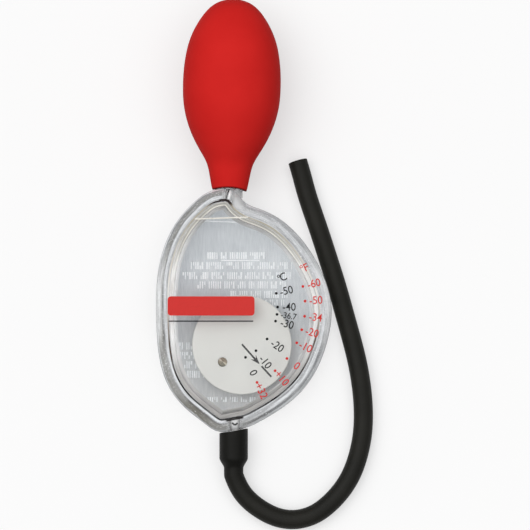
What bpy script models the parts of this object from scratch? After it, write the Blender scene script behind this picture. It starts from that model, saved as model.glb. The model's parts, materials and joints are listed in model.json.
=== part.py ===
"""Disc-float antifreeze tester: a clear two-shell case, a swinging float, a squeeze bulb and a hose.

The rigid pieces are modelled in the case's own frame: x to the right and y up to the bulb from the lower
left corner of the case's outline, and z forward from the parting plane of its two shells. The tester then
lies on its back on the floor at z = 0, tipped a little because the bulb is fatter than the case.
"""
import math

import bmesh
import bpy
import numpy as np
from mathutils import Matrix, Vector

MM = 0.001

# Clearances
GAP = 0.3 * MM
CUT_OVERRUN = 2.0 * MM
MERGE_DISTANCE = 0.01 * MM

# Case: two clear shells that meet at the parting plane
CASE_WIDTH = 82.3 * MM
CASE_HEIGHT = 113.9 * MM
CASE_THICKNESS = 18.0 * MM
RIM_WIDTH = 6.1 * MM
WINDOW_WALL = 2.4 * MM
EDGE_ROUND = 3.6 * MM
CHAMBER_LEAN = 3.4 * MM
CHAMBER_STRAIGHT = 2.4 * MM
CASE_OUTLINE_SHARES = (
    (0.387, 1.0), (0.318, 0.991), (0.25, 0.964), (0.136, 0.882), (0.05, 0.768), (0.008, 0.64),
    (0.0, 0.492), (0.012, 0.335), (0.056, 0.209), (0.15, 0.108), (0.267, 0.038), (0.353, 0.0),
    (0.438, 0.005), (0.518, 0.017), (0.587, 0.039), (0.764, 0.121), (0.904, 0.24), (0.978, 0.376),
    (1.0, 0.504), (0.966, 0.618), (0.892, 0.727), (0.792, 0.821), (0.678, 0.887), (0.575, 0.92),
    (0.535, 0.931), (0.497, 0.95), (0.463, 0.979), (0.427, 0.996),
)

# Neck at the top of the case, which carries the bulb
NECK_PLACE_SHARE = 0.418
NECK_RADIUS = 6.2 * MM
NECK_BORE_RADIUS = 2.0 * MM
NECK_REACH = 11.0 * MM

# Spigot at the bottom of the case, which carries the hose
SPIGOT_PLACE_SHARE = 0.442
SPIGOT_RADIUS = 4.6 * MM
SPIGOT_BORE_RADIUS = 2.3 * MM
SPIGOT_LENGTH = 12.0 * MM

# Pivot pin and the bosses that hold its ends
PIVOT_PLACE_SHARES = (0.367, 0.5165)
PIN_RADIUS = 1.2 * MM
BOSS_RADIUS = 2.6 * MM
SOCKET_DEPTH = 3.0 * MM
END_PLAY = 0.4 * MM

# Float disc and the two ballast pins pressed through it
FLOAT_CLEARANCE = 1.8 * MM
FLOAT_THICKNESS = 3.2 * MM
FLOAT_EDGE_ROUND = 0.5 * MM
PIVOT_INSET = 2.6 * MM
FLOAT_REST_DEG = -61.0
BALLAST_RADIUS = 2.15 * MM
BALLAST_PROUD = 0.25 * MM
BALLAST_PLACE_SHARES = {"lower": (-0.39, -0.35), "upper": (0.11, 0.75)}

# Squeeze bulb, measured up its axis from the lip of its mouth
BULB_LENGTH = 89.0 * MM
BULB_RADIUS = 23.0 * MM
BULB_WALL = 2.2 * MM
BULB_LEAN_DEG = -1.3
BULB_PROFILE_SHARES = (
    (0.353, 0.0), (0.415, 0.07), (0.478, 0.13), (0.63, 0.2), (0.795, 0.28), (0.915, 0.365),
    (0.982, 0.45), (1.0, 0.535), (0.988, 0.63), (0.92, 0.745), (0.8, 0.833), (0.625, 0.91),
    (0.38, 0.973), (0.0, 1.0),
)

# Hose: a wide cuff that is pushed onto the spigot, and the long tube moulded in one with it
CUFF_RADIUS = 6.7 * MM
CUFF_LENGTH = 12.7 * MM
CUFF_TAPER = 5.0 * MM
HOSE_RADIUS = 4.55 * MM
HOSE_BORE_RADIUS = 2.7 * MM
HOSE_LEAD = 3.0 * MM
HOSE_ROUTE = (
    (-3.5, -118.7, 6.3), (-1.0, -123.3, 5.8), (2.5, -127.4, 5.3), (6.9, -130.9, 4.9),
    (12.3, -134.0, 4.7), (17.5, -135.8, 4.6), (22.7, -136.4, 4.6), (27.8, -135.8, 4.6),
    (33.5, -133.7, 4.6), (39.1, -129.8, 4.6), (44.3, -124.6, 4.6), (49.0, -118.0, 4.6),
    (52.5, -110.3, 4.6), (54.8, -102.0, 4.6), (56.0, -94.0, 4.6), (56.2, -83.7, 4.6),
    (55.2, -72.4, 4.6), (53.2, -61.1, 4.6), (50.4, -49.9, 4.6), (47.3, -38.6, 4.6),
    (43.9, -26.4, 4.6), (40.4, -15.1, 4.6), (36.8, -3.8, 4.6), (33.2, 7.0, 4.6),
    (29.7, 17.8, 4.6), (27.4, 26.3, 4.6), (25.4, 33.3, 4.6),
)

# Facets
OUTLINE_SIDES = 96
OUTLINE_FINENESS = 16
ARC_STEPS = 4
ROUND_SIDES = 24
BULB_SIDES = 32
BULB_RINGS = 18
FLOAT_SIDES = 56
HOSE_STEPS = 29
HOSE_BEVEL_RESOLUTION = 3
SHARP_EDGE_DEG = 35.0
STEEPEST_TILT_DEG = 20.0
HALVINGS = 40
PARALLEL_SHARE = 0.05
FOLD_SHARE = 0.9999

# Finishes: base colour, roughness, metallic and transmission
FINISHES = {
    "clear_plastic": ((0.80, 0.83, 0.85), 0.08, 0.0, 0.9),
    "red_rubber": ((0.60, 0.018, 0.016), 0.45, 0.0, 0.0),
    "black_rubber": ((0.014, 0.014, 0.013), 0.5, 0.0, 0.0),
    "ivory_plastic": ((0.69, 0.69, 0.63), 0.4, 0.0, 0.0),
    "pin_plastic": ((0.78, 0.79, 0.76), 0.25, 0.0, 0.0),
    "brass": ((0.33, 0.27, 0.16), 0.35, 1.0, 0.0),
}


def clear_scene():
    for item in list(bpy.data.objects):
        bpy.data.objects.remove(item, do_unlink=True)


def make_materials():
    materials = {}
    for name, (color, roughness, metallic, transmission) in FINISHES.items():
        material = bpy.data.materials.new(name)
        material.use_nodes = True
        shader = material.node_tree.nodes["Principled BSDF"]
        shader.inputs["Base Color"].default_value = (*color, 1.0)
        shader.inputs["Roughness"].default_value = roughness
        shader.inputs["Metallic"].default_value = metallic
        shader.inputs["Transmission Weight"].default_value = transmission
        material.diffuse_color = (*color, 1.0)
        materials[name] = material
    return materials


# Curves

def second_differences(lengths, knots, closed):
    """Second derivatives of the cubic spline through the knots, closed or with free ends."""
    count = len(lengths) if closed else len(knots)
    matrix = np.zeros((count, count))
    target = np.zeros((count, knots.shape[1]))
    for i in range(count):
        if not closed and i in (0, count - 1):
            matrix[i, i] = 1.0
            continue
        before, after = lengths[i - 1], lengths[i]
        previous = knots[i - 1] if i else knots[-2]
        matrix[i, i - 1] += before
        matrix[i, i] += 2.0 * (before + after)
        matrix[i, (i + 1) % count] += after
        slope_change = (knots[i + 1] - knots[i]) / after - (knots[i] - previous) / before
        target[i] = 6.0 * slope_change
    bends = np.linalg.solve(matrix, target)
    return np.vstack([bends, bends[:1]]) if closed else bends


def smooth_curve(points, count, closed):
    """Evenly spaced points along the cubic spline through the given points."""
    knots = np.array(points, dtype=float)
    if closed:
        knots = np.vstack([knots, knots[:1]])
    lengths = np.sqrt(np.linalg.norm(np.diff(knots, axis=0), axis=1))
    bends = second_differences(lengths, knots, closed)
    fine = []
    for i, length in enumerate(lengths):
        for part in np.linspace(0.0, 1.0, OUTLINE_FINENESS * 2, endpoint=False):
            rest = 1.0 - part
            curl = (rest ** 3 - rest) * bends[i] + (part ** 3 - part) * bends[i + 1]
            fine.append(rest * knots[i] + part * knots[i + 1] + curl * length ** 2 / 6.0)
    fine = np.array(fine + [knots[-1]])
    along = np.concatenate([[0.0], np.cumsum(np.linalg.norm(np.diff(fine, axis=0), axis=1))])
    places = np.linspace(0.0, along[-1], count, endpoint=not closed)
    return np.stack([np.interp(places, along, fine[:, axis]) for axis in range(fine.shape[1])], axis=1)


def crossing(point, direction, other, other_direction):
    """Where two straight lines in a plane cross, or the middle between them if they run alike."""
    matrix = np.array([direction, -other_direction]).T
    if abs(np.linalg.det(matrix)) < PARALLEL_SHARE:
        return (point + other) / 2.0
    return point + direction * np.linalg.solve(matrix, other - point)[0]


def inset(ring, distance):
    """A counter-clockwise ring moved inward, with each run that folds over drawn to one corner."""
    if distance == 0:
        return ring.copy()
    along = np.roll(ring, -1, axis=0) - np.roll(ring, 1, axis=0)
    along /= np.linalg.norm(along, axis=1)[:, None]
    moved = ring + distance * np.stack([-along[:, 1], along[:, 0]], axis=1)
    room = np.min(np.linalg.norm(moved[:, None] - ring[None], axis=2), axis=1)
    kept = np.flatnonzero(room > distance * FOLD_SHARE)
    result = moved.copy()
    for first, last in zip(kept, np.roll(kept, -1)):
        run = np.arange(first + 1, last + (len(ring) if last <= first else 0)) % len(ring)
        if len(run):
            result[run] = crossing(moved[first], along[first], moved[last], along[last])
    return result


def case_ring():
    outline = [(x * CASE_WIDTH, y * CASE_HEIGHT) for x, y in CASE_OUTLINE_SHARES]
    return smooth_curve(outline, OUTLINE_SIDES * OUTLINE_FINENESS, closed=True)


def level(ring, height):
    """Every so many points of a fine ring, at one height."""
    chosen = ring[::OUTLINE_FINENESS]
    return np.column_stack([chosen, np.full(len(chosen), height)])


def edge_height(ring, place, top):
    """Height of a ring's top or bottom edge at a place along x."""
    middle = np.mean(ring[:, 1])
    side = ring[ring[:, 1] > middle] if top else ring[ring[:, 1] < middle]
    return side[np.argmin(np.abs(side[:, 0] - place)), 1]


def seat_under(ring, place, reach):
    """Height and slope of the straight edge that touches a ring from below near a place."""
    near = ring[(np.abs(ring[:, 0] - place) < reach) & (ring[:, 1] < np.mean(ring[:, 1]))]
    left, right = near[np.argmin(near[:, 0])], near[np.argmax(near[:, 0])]
    slope = (right[1] - left[1]) / (right[0] - left[0])
    return np.min(near[:, 1] - slope * (near[:, 0] - place)), slope


# Solids

def finish_mesh(name, mesh_data, parent, material=None):
    """An object from a bmesh, with coincident points merged, faces out and round faces smooth."""
    bmesh.ops.remove_doubles(mesh_data, verts=mesh_data.verts, dist=MERGE_DISTANCE)
    bmesh.ops.recalc_face_normals(mesh_data, faces=mesh_data.faces)
    mesh = bpy.data.meshes.new(name)
    mesh_data.to_mesh(mesh)
    mesh_data.free()
    mesh.shade_smooth()
    mesh.set_sharp_from_angle(angle=math.radians(SHARP_EDGE_DEG))
    item = bpy.data.objects.new(name, mesh)
    bpy.context.collection.objects.link(item)
    item.parent = parent
    if material:
        mesh.materials.append(material)
    return item


def skin(mesh_data, rings, closed):
    """Bands of faces between rings that have the same number of points."""
    verts = [[mesh_data.verts.new(point) for point in ring] for ring in rings]
    pairs = list(zip(verts, verts[1:]))
    if closed:
        pairs.append((verts[-1], verts[0]))
    for low, high in pairs:
        for i in range(len(low)):
            j = (i + 1) % len(low)
            mesh_data.faces.new((low[i], low[j], high[j], high[i]))
    return verts


def loft(name, rings, parent, material=None):
    """A solid through a stack of rings, closed with a flat face at each end."""
    mesh_data = bmesh.new()
    verts = skin(mesh_data, rings, closed=False)
    mesh_data.faces.new(verts[0])
    mesh_data.faces.new(verts[-1])
    return finish_mesh(name, mesh_data, parent, material)


def revolve(name, profile, parent, material=None, closed=False, sides=ROUND_SIDES):
    """A solid turned about its own y axis from rows of radius, height and the slope of that ring."""
    angles = np.linspace(0.0, 2.0 * math.pi, sides, endpoint=False)
    rings = []
    for radius, height, slope in profile:
        across = radius * np.cos(angles)
        rings.append(np.column_stack([across, height + slope * across, radius * np.sin(angles)]))
    mesh_data = bmesh.new()
    skin(mesh_data, rings, closed)
    return finish_mesh(name, mesh_data, parent, material)


def rod(name, radius, low, high, parent, material=None, edge=0.0, sides=ROUND_SIDES):
    """A cylinder along its own y axis, with chamfered ends if an edge is given."""
    profile = [(0.0, low), (radius - edge, low), (radius, low + edge),
               (radius, high - edge), (radius - edge, high), (0.0, high)]
    rows = [(across, height, 0.0) for across, height in profile]
    return revolve(name, rows, parent, material, sides=sides)


def stand_up(item, x, y):
    """Turns a rod so that it runs along z, and puts it at a place in the plane."""
    item.rotation_euler = (math.radians(90.0), 0.0, 0.0)
    item.location = (x, y, 0.0)
    return item


def cut_with(target, operation, operand):
    """A union or a cut, and a weld that clears the edges of no length that it leaves."""
    modifier = target.modifiers.new(operand.name, "BOOLEAN")
    modifier.operation = operation
    modifier.solver = "EXACT"
    modifier.object = operand
    weld = target.modifiers.new("weld", "WELD")
    weld.merge_threshold = MERGE_DISTANCE
    operand.hide_render = True
    operand.display_type = "WIRE"


# Case

class Layout:
    """Places that several pieces share, worked out once from the named sizes."""

    def __init__(self):
        self.ring = case_ring()
        self.chamber = inset(self.ring, RIM_WIDTH)
        self.neck_x = NECK_PLACE_SHARE * CASE_WIDTH
        self.spigot_x = SPIGOT_PLACE_SHARE * CASE_WIDTH
        self.pivot = np.array(PIVOT_PLACE_SHARES) * (CASE_WIDTH, CASE_HEIGHT)
        mouth_radius = BULB_PROFILE_SHARES[0][0] * BULB_RADIUS
        under_lip = self.ring[np.abs(self.ring[:, 0] - self.neck_x) < mouth_radius]
        self.lip_y = np.max(under_lip[:, 1]) + GAP
        self.seat_y, self.seat_slope = seat_under(self.ring, self.spigot_x, CUFF_RADIUS)
        self.seat_y -= GAP
        self.reach = self.float_reach()
        self.float_radius = (self.reach + PIVOT_INSET) / 2.0
        self.arm = self.float_radius - PIVOT_INSET
        self.boss_face = FLOAT_THICKNESS / 2.0 + END_PLAY
        self.window_depth = CASE_THICKNESS / 2.0 - WINDOW_WALL

    def float_reach(self):
        """How far the float may reach from its pivot in the lower right quarter of the chamber."""
        away = self.chamber - self.pivot
        quarter = away[(away[:, 0] >= 0) & (away[:, 1] <= 0)]
        return np.min(np.linalg.norm(quarter, axis=1)) - FLOAT_CLEARANCE

    def float_centre(self, turn_deg=0.0):
        angle = math.radians(FLOAT_REST_DEG + turn_deg)
        return self.pivot + self.arm * np.array([math.cos(angle), math.sin(angle)])

    def swing_limit(self, step_deg):
        """The furthest turn, in whole degrees, at which the disc still clears the chamber's wall."""
        turn = 0.0
        while abs(turn) < 180.0:
            centre = self.float_centre(turn + step_deg)
            room = np.min(np.linalg.norm(self.chamber - centre, axis=1)) - self.float_radius
            if room < GAP:
                break
            turn += step_deg
        return turn


def quarter_arc(start, width, height):
    """Inset and height steps round a quarter of an ellipse, from upright to level."""
    steps = []
    for i in range(ARC_STEPS + 1):
        angle = math.radians(90.0) * i / ARC_STEPS
        steps.append((width * (1.0 - math.cos(angle)), start + height * math.sin(angle)))
    return steps


def shell_solid(name, side, layout, frame, material):
    """The outside of one shell: upright at the parting plane, then rounded over to a flat face."""
    upright = CASE_THICKNESS / 2.0 - EDGE_ROUND
    levels = [(0.0, -CUT_OVERRUN)] + quarter_arc(upright, EDGE_ROUND, EDGE_ROUND)
    rings = [level(inset(layout.ring, width), side * height) for width, height in levels]
    return loft(name, rings, frame, material)


def chamber_cutter(name, side, layout, frame):
    """The hollow of one shell: upright where the float swings, then leaning in to the window."""
    arc = quarter_arc(CHAMBER_STRAIGHT, CHAMBER_LEAN, layout.window_depth - CHAMBER_STRAIGHT)
    levels = [(0.0, -CUT_OVERRUN)] + arc
    rings = [level(inset(layout.ring, RIM_WIDTH + width), side * height) for width, height in levels]
    return loft(name, rings, frame)


def parting_cutter(name, side, frame):
    """A block on the far side of the parting plane, half the gap short of it."""
    margin = 2.0 * max(NECK_REACH, SPIGOT_LENGTH)
    low_x, high_x = -margin, CASE_WIDTH + margin
    low_y, high_y = -margin, CASE_HEIGHT + margin
    corners = np.array([(low_x, low_y), (high_x, low_y), (high_x, high_y), (low_x, high_y)])
    near, far = side * GAP / 2.0, -side * CASE_THICKNESS
    rings = [np.column_stack([corners, np.full(len(corners), height)]) for height in (near, far)]
    return loft(name, rings, frame)


def shared_operands(layout, frame):
    """The neck and spigot tubes and their bores, which both shells use."""
    neck_root = edge_height(layout.chamber, layout.neck_x, top=True)
    spigot_root = edge_height(layout.chamber, layout.spigot_x, top=False)
    neck_end = layout.lip_y + NECK_REACH
    spigot_end = layout.seat_y - SPIGOT_LENGTH
    rim_middle = RIM_WIDTH / 2.0
    operands = {
        "neck": rod("guide_neck", NECK_RADIUS, neck_root + rim_middle, neck_end, frame),
        "spigot": rod("guide_spigot", SPIGOT_RADIUS, spigot_end, spigot_root - rim_middle, frame),
        "neck_bore": rod("cutter_neck_bore", NECK_BORE_RADIUS, neck_root - CUT_OVERRUN,
                         neck_end + CUT_OVERRUN, frame),
        "spigot_bore": rod("cutter_spigot_bore", SPIGOT_BORE_RADIUS, spigot_end - CUT_OVERRUN,
                           spigot_root + CUT_OVERRUN, frame),
    }
    for key, operand in operands.items():
        operand.location.x = layout.neck_x if key.startswith("neck") else layout.spigot_x
    return operands


def make_shell(name, side, layout, operands, frame, material):
    shell = shell_solid(name, side, layout, frame, material)
    boss_low = layout.boss_face
    boss_high = layout.window_depth + WINDOW_WALL / 2.0
    boss = rod(f"guide_boss_{name}", BOSS_RADIUS, *sorted((side * boss_low, side * boss_high)), frame)
    socket_ends = sorted((side * (boss_low - CUT_OVERRUN), side * (boss_low + SOCKET_DEPTH)))
    socket = rod(f"cutter_socket_{name}", PIN_RADIUS + GAP, *socket_ends, frame)
    for round_piece in (boss, socket):
        stand_up(round_piece, *layout.pivot)
    cut_with(shell, "UNION", operands["neck"])
    cut_with(shell, "UNION", operands["spigot"])
    cut_with(shell, "DIFFERENCE", parting_cutter(f"cutter_parting_{name}", side, frame))
    cut_with(shell, "DIFFERENCE", chamber_cutter(f"cutter_chamber_{name}", side, layout, frame))
    cut_with(shell, "UNION", boss)
    cut_with(shell, "DIFFERENCE", operands["neck_bore"])
    cut_with(shell, "DIFFERENCE", operands["spigot_bore"])
    cut_with(shell, "DIFFERENCE", socket)
    return shell


# Float

def make_pivot_pin(layout, frame, material):
    half = layout.boss_face + SOCKET_DEPTH - GAP
    pin = rod("pivot_pin", PIN_RADIUS, -half, half, frame, material, edge=GAP)
    return stand_up(pin, *layout.pivot)


def make_float(layout, swing, materials):
    """The disc and its ballast pins, built about the pivot that they swing on."""
    centre = layout.float_centre() - layout.pivot
    half = FLOAT_THICKNESS / 2.0
    disc = rod("float_disc", layout.float_radius, -half, half, swing, materials["ivory_plastic"],
               edge=FLOAT_EDGE_ROUND, sides=FLOAT_SIDES)
    stand_up(disc, *centre)
    hole_ends = (-half - CUT_OVERRUN, half + CUT_OVERRUN)
    pivot_hole = rod("cutter_pivot_hole", PIN_RADIUS + GAP, *hole_ends, swing)
    cut_with(disc, "DIFFERENCE", stand_up(pivot_hole, 0.0, 0.0))
    for key, shares in BALLAST_PLACE_SHARES.items():
        place = centre + np.array(shares) * layout.float_radius
        hole = rod(f"cutter_ballast_{key}", BALLAST_RADIUS + GAP, *hole_ends, swing)
        cut_with(disc, "DIFFERENCE", stand_up(hole, *place))
        reach = half + BALLAST_PROUD
        pin = rod(f"ballast_pin_{key}", BALLAST_RADIUS, -reach, reach, swing, materials["brass"],
                  edge=BALLAST_PROUD)
        stand_up(pin, *place)


# Bulb

def make_bulb(layout, frame, material):
    """A hollow bulb whose mouth fits over the neck down to its lip."""
    mirrored = [(-x, y) for x, y in BULB_PROFILE_SHARES[-2::-1]]
    outline = np.array(list(BULB_PROFILE_SHARES) + mirrored) * (BULB_RADIUS, BULB_LENGTH)
    outer = smooth_curve(outline, 2 * BULB_RINGS + 1, closed=False)[:BULB_RINGS + 1]
    outer[-1, 0] = 0.0
    along = np.gradient(outer, axis=0)
    along /= np.linalg.norm(along, axis=1)[:, None]
    inner = outer + BULB_WALL * np.stack([-along[:, 1], along[:, 0]], axis=1)
    inner[-1, 0] = 0.0
    mouth_radius = NECK_RADIUS + GAP
    collar_top = NECK_REACH + GAP
    past_collar = (inner[:, 1] > collar_top + BULB_WALL) & (inner[:, 0] > mouth_radius)
    inner = inner[past_collar | (inner[:, 0] == 0)]
    profile = [(x, y, 0.0) for x, y in inner[::-1]]
    profile += [(mouth_radius, collar_top, 0.0), (mouth_radius, 0.0, 0.0)]
    profile += [(x, y, 0.0) for x, y in outer]
    bulb = revolve("squeeze_bulb", profile, frame, material, sides=BULB_SIDES)
    bulb.location = (layout.neck_x, layout.lip_y, 0.0)
    return bulb


# Hose

def make_cuff(layout, frame, material):
    """The wide end of the hose, whose cut end follows the slant of the case above it."""
    grip = SPIGOT_RADIUS + GAP
    slant = layout.seat_slope
    step = -SPIGOT_LENGTH - GAP
    taper_top, end = -CUFF_LENGTH, -CUFF_LENGTH - CUFF_TAPER
    profile = [
        (CUFF_RADIUS, 0.0, slant),
        (CUFF_RADIUS, -CUFF_RADIUS, 0.0),
        (CUFF_RADIUS, taper_top, 0.0),
        ((CUFF_RADIUS + HOSE_RADIUS) / 2.0, (taper_top + end) / 2.0, 0.0),
        (HOSE_RADIUS, end, 0.0),
        (HOSE_BORE_RADIUS, end, 0.0),
        (HOSE_BORE_RADIUS, step - (grip - HOSE_BORE_RADIUS), 0.0),
        (grip, step, 0.0),
        (grip, 0.0, slant),
    ]
    cuff = revolve("hose_cuff", profile, frame, material, closed=True, sides=BULB_SIDES)
    cuff.location = (layout.spigot_x, layout.seat_y, 0.0)
    return cuff


def make_hose(cuff, material):
    """The tube, straight out of the cuff and then along the floor on one smooth curve."""
    cuff_end = -CUFF_LENGTH - CUFF_TAPER
    outlet = cuff.matrix_world @ Vector((0.0, cuff_end - GAP, 0.0))
    straight_on = cuff.matrix_world @ Vector((0.0, cuff_end - HOSE_LEAD, 0.0))
    route = [tuple(straight_on)] + [tuple(MM * value for value in point) for point in HOSE_ROUTE]
    path = np.vstack([outlet, smooth_curve(route, HOSE_STEPS + 1, closed=False)])
    curve = bpy.data.curves.new("hose", "CURVE")
    curve.dimensions = "3D"
    curve.bevel_depth = HOSE_RADIUS
    curve.bevel_resolution = HOSE_BEVEL_RESOLUTION
    curve.use_fill_caps = True
    curve.materials.append(material)
    spline = curve.splines.new("POLY")
    spline.points.add(len(path) - 1)
    for point, place in zip(spline.points, path):
        point.co = (*place, 1.0)
    hose = bpy.data.objects.new("hose", curve)
    bpy.context.collection.objects.link(hose)
    length = np.sum(np.linalg.norm(np.diff(path, axis=0), axis=1))
    print(f"hose tube {length / MM:.1f} mm from {np.round(np.array(outlet) / MM, 2)}")
    return hose


# Pose

def points_of(items):
    """World points of the evaluated meshes."""
    bpy.context.view_layer.update()
    graph = bpy.context.evaluated_depsgraph_get()
    points = []
    for item in items:
        evaluated = item.evaluated_get(graph)
        mesh = evaluated.to_mesh()
        points += [evaluated.matrix_world @ vertex.co for vertex in mesh.vertices]
        evaluated.to_mesh_clear()
    return np.array(points)


def lay_on_back(frame, shells, bulb):
    """Tips the tester until its case and its bulb both touch the floor, and centres it there."""
    case_points, bulb_points = points_of(shells), points_of([bulb])
    low, high = 0.0, math.radians(STEEPEST_TILT_DEG)
    for _ in range(HALVINGS):
        tilt = (low + high) / 2.0
        lift = np.array([0.0, math.sin(tilt), math.cos(tilt)])
        if np.min(bulb_points @ lift) < np.min(case_points @ lift):
            low = tilt
        else:
            high = tilt
    turn = np.array(Matrix.Rotation(tilt, 3, "X"))
    points = np.vstack([case_points, bulb_points]) @ turn.T
    centre = (points.min(axis=0) + points.max(axis=0)) / 2.0
    frame.rotation_euler = (tilt, 0.0, 0.0)
    frame.location = (-centre[0], -centre[1], -points[:, 2].min())
    bpy.context.view_layer.update()


def print_places(layout, frame):
    """World places and directions that a record of this object states."""
    half = CASE_THICKNESS / 2.0
    spigot_end = layout.seat_y - SPIGOT_LENGTH
    for name, place in (
        ("pivot", (*layout.pivot, 0.0)),
        ("front face", (*layout.pivot, half)),
        ("rear face", (*layout.pivot, -half)),
        ("spigot axis end", (layout.spigot_x, spigot_end, 0.0)),
        ("lip centre", (layout.neck_x, layout.lip_y, 0.0)),
    ):
        print(name, np.round(np.array(frame.matrix_world @ Vector(place)) / MM, 3))
    normal = frame.matrix_world.to_3x3() @ Vector((0.0, 0.0, 1.0))
    tilt_deg = math.degrees(frame.rotation_euler.x)
    print("case normal", np.round(np.array(normal), 5), "tilt", round(tilt_deg, 3))
    print("float radius and arm", round(layout.float_radius / MM, 2), round(layout.arm / MM, 2))
    print("swing limits", layout.swing_limit(-1.0), layout.swing_limit(1.0))


def make_empty(name, parent=None, place=(0.0, 0.0, 0.0)):
    empty = bpy.data.objects.new(name, None)
    bpy.context.collection.objects.link(empty)
    empty.parent = parent
    empty.location = place
    return empty


def main():
    clear_scene()
    materials = make_materials()
    layout = Layout()
    frame = make_empty("case_frame")
    swing = make_empty("float_swing", frame, (*layout.pivot, 0.0))
    operands = shared_operands(layout, frame)
    clear = materials["clear_plastic"]
    shells = [make_shell("front_shell", 1.0, layout, operands, frame, clear),
              make_shell("rear_shell", -1.0, layout, operands, frame, clear)]
    make_pivot_pin(layout, frame, materials["pin_plastic"])
    make_float(layout, swing, materials)
    bulb = make_bulb(layout, frame, materials["red_rubber"])
    bulb.rotation_euler.z = math.radians(BULB_LEAN_DEG)
    cuff = make_cuff(layout, frame, materials["black_rubber"])
    lay_on_back(frame, shells, bulb)
    make_hose(cuff, materials["black_rubber"])
    print_places(layout, frame)


main()
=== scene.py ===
"""Looks of a disc-float antifreeze tester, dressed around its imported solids.

Most pieces are drawn in the case's own frame, as in the construction: x to the right and y up to the bulb
from the lower left corner of the case's outline, and z forward from the parting plane. CASE turns them
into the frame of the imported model.
"""
import json
import math
import random

import bmesh
import bpy
import numpy as np
from mathutils import Matrix, Vector
from mathutils.bvhtree import BVHTree


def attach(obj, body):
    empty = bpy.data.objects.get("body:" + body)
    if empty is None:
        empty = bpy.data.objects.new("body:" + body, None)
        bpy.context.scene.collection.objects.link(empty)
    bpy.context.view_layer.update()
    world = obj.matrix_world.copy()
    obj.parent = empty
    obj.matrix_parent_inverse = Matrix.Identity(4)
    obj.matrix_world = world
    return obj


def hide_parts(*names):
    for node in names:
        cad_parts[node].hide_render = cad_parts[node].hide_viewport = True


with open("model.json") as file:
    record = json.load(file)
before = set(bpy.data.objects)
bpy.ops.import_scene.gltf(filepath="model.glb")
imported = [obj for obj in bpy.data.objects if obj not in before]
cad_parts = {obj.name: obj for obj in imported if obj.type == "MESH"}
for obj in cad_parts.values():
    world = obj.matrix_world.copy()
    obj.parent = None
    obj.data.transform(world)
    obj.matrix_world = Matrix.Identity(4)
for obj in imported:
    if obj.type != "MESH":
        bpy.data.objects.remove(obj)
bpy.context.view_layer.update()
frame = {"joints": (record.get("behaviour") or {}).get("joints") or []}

MM = 0.001
SQUARE = ((-1, -1), (1, -1), (1, 1), (-1, 1))


def in_mm(*values):
    """Numbers, and rows of numbers, that are given in millimetres."""
    return tuple(in_mm(*value) if isinstance(value, tuple) else value * MM for value in values)


# Case, as it is built
CASE_WIDTH = 82.3 * MM
CASE_HEIGHT = 113.9 * MM
CASE_THICKNESS = 18.0 * MM
RIM_WIDTH = 6.1 * MM
WINDOW_WALL = 2.4 * MM
EDGE_ROUND = 3.6 * MM
CHAMBER_STRAIGHT = 2.4 * MM
LEDGE_WIDTH = 1.9 * MM
LEDGE_ROUND = 0.3 * MM
FRONT_LEAN = 4.0 * MM
REAR_LEAN = 4.6 * MM
CASE_OUTLINE_SHARES = (
    (0.387, 1.0), (0.318, 0.991), (0.25, 0.964), (0.136, 0.882), (0.05, 0.768), (0.008, 0.64),
    (0.0, 0.492), (0.012, 0.335), (0.056, 0.209), (0.15, 0.108), (0.267, 0.038), (0.353, 0.0),
    (0.438, 0.005), (0.518, 0.017), (0.587, 0.039), (0.764, 0.121), (0.904, 0.24), (0.978, 0.376),
    (1.0, 0.504), (0.966, 0.618), (0.892, 0.727), (0.792, 0.821), (0.678, 0.887), (0.575, 0.92),
    (0.535, 0.931), (0.497, 0.95), (0.463, 0.979), (0.427, 0.996),
)
SEAM_GAP = 0.06 * MM
SEAM_EDGE = 0.25 * MM
FACE_STEPS = in_mm(0.25, 0.8, 1.6, 2.5, 4.4, 6.8, 9.4)
OVERRUN = 2.0 * MM
WELD = 0.005 * MM
OUTLINE_SIDES = 384
OUTLINE_FINENESS = 4
ARC_STEPS = 12
EDGE_STEPS = 6
FOLD_SHARE = 0.9999
PARALLEL_SHARE = 0.05
FLAT_COSINE = 0.999
SHARP_DEG = 35.0
SOFT_SHARP_DEG = 50.0
MARK_BATCH = 2000

# Neck, spigot and pivot
NECK_X = 0.418 * CASE_WIDTH
NECK_RADIUS = 6.2 * MM
NECK_BORE_RADIUS = 2.0 * MM
NECK_REACH = 11.0 * MM
SPIGOT_X = 0.442 * CASE_WIDTH
SPIGOT_RADIUS = 4.6 * MM
SPIGOT_BORE_RADIUS = 2.3 * MM
SPIGOT_LENGTH = 12.0 * MM
PIVOT = Vector((0.367 * CASE_WIDTH, 0.5165 * CASE_HEIGHT, 0.0))
PIN_RADIUS = 1.2 * MM
PIN_EDGE_ROUND = 0.3 * MM
BOSS_RADIUS = 2.6 * MM
BOSS_FACE = 2.0 * MM
SOCKET_DEPTH = 3.0 * MM
FIT = 0.3 * MM

# Float
FLOAT_RADIUS = 23.35 * MM
FLOAT_ARM = 20.75 * MM
FLOAT_REST_DEG = -61.0
FLOAT_THICKNESS = 3.2 * MM
FLOAT_EDGE_ROUND = 0.5 * MM
BALLAST_RADIUS = 2.15 * MM
BALLAST_PROUD = 0.25 * MM
BALLAST_EDGE_ROUND = 0.35 * MM
DIMPLE_RADIUS = 0.35 * MM
DIMPLE_DEPTH = 0.1 * MM
BALLAST_SHARES = {"lower": (-0.39, -0.35), "upper": (0.11, 0.75)}
# Painted highlight and shade on the ballast pins' faces: tones by angle about each pin, with two bright
# wedges
PAINTED_HIGHLIGHT_FANS = (
    (0.0, (0.36, 0.3, 0.21)), (0.14, (0.2, 0.18, 0.13)), (0.34, (0.22, 0.2, 0.14)),
    (0.41, (0.9, 0.82, 0.66)), (0.46, (0.4, 0.34, 0.25)), (0.7, (0.24, 0.18, 0.12)),
    (0.83, (0.3, 0.23, 0.16)), (0.9, (0.95, 0.85, 0.7)), (0.95, (0.4, 0.33, 0.24)),
)

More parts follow.
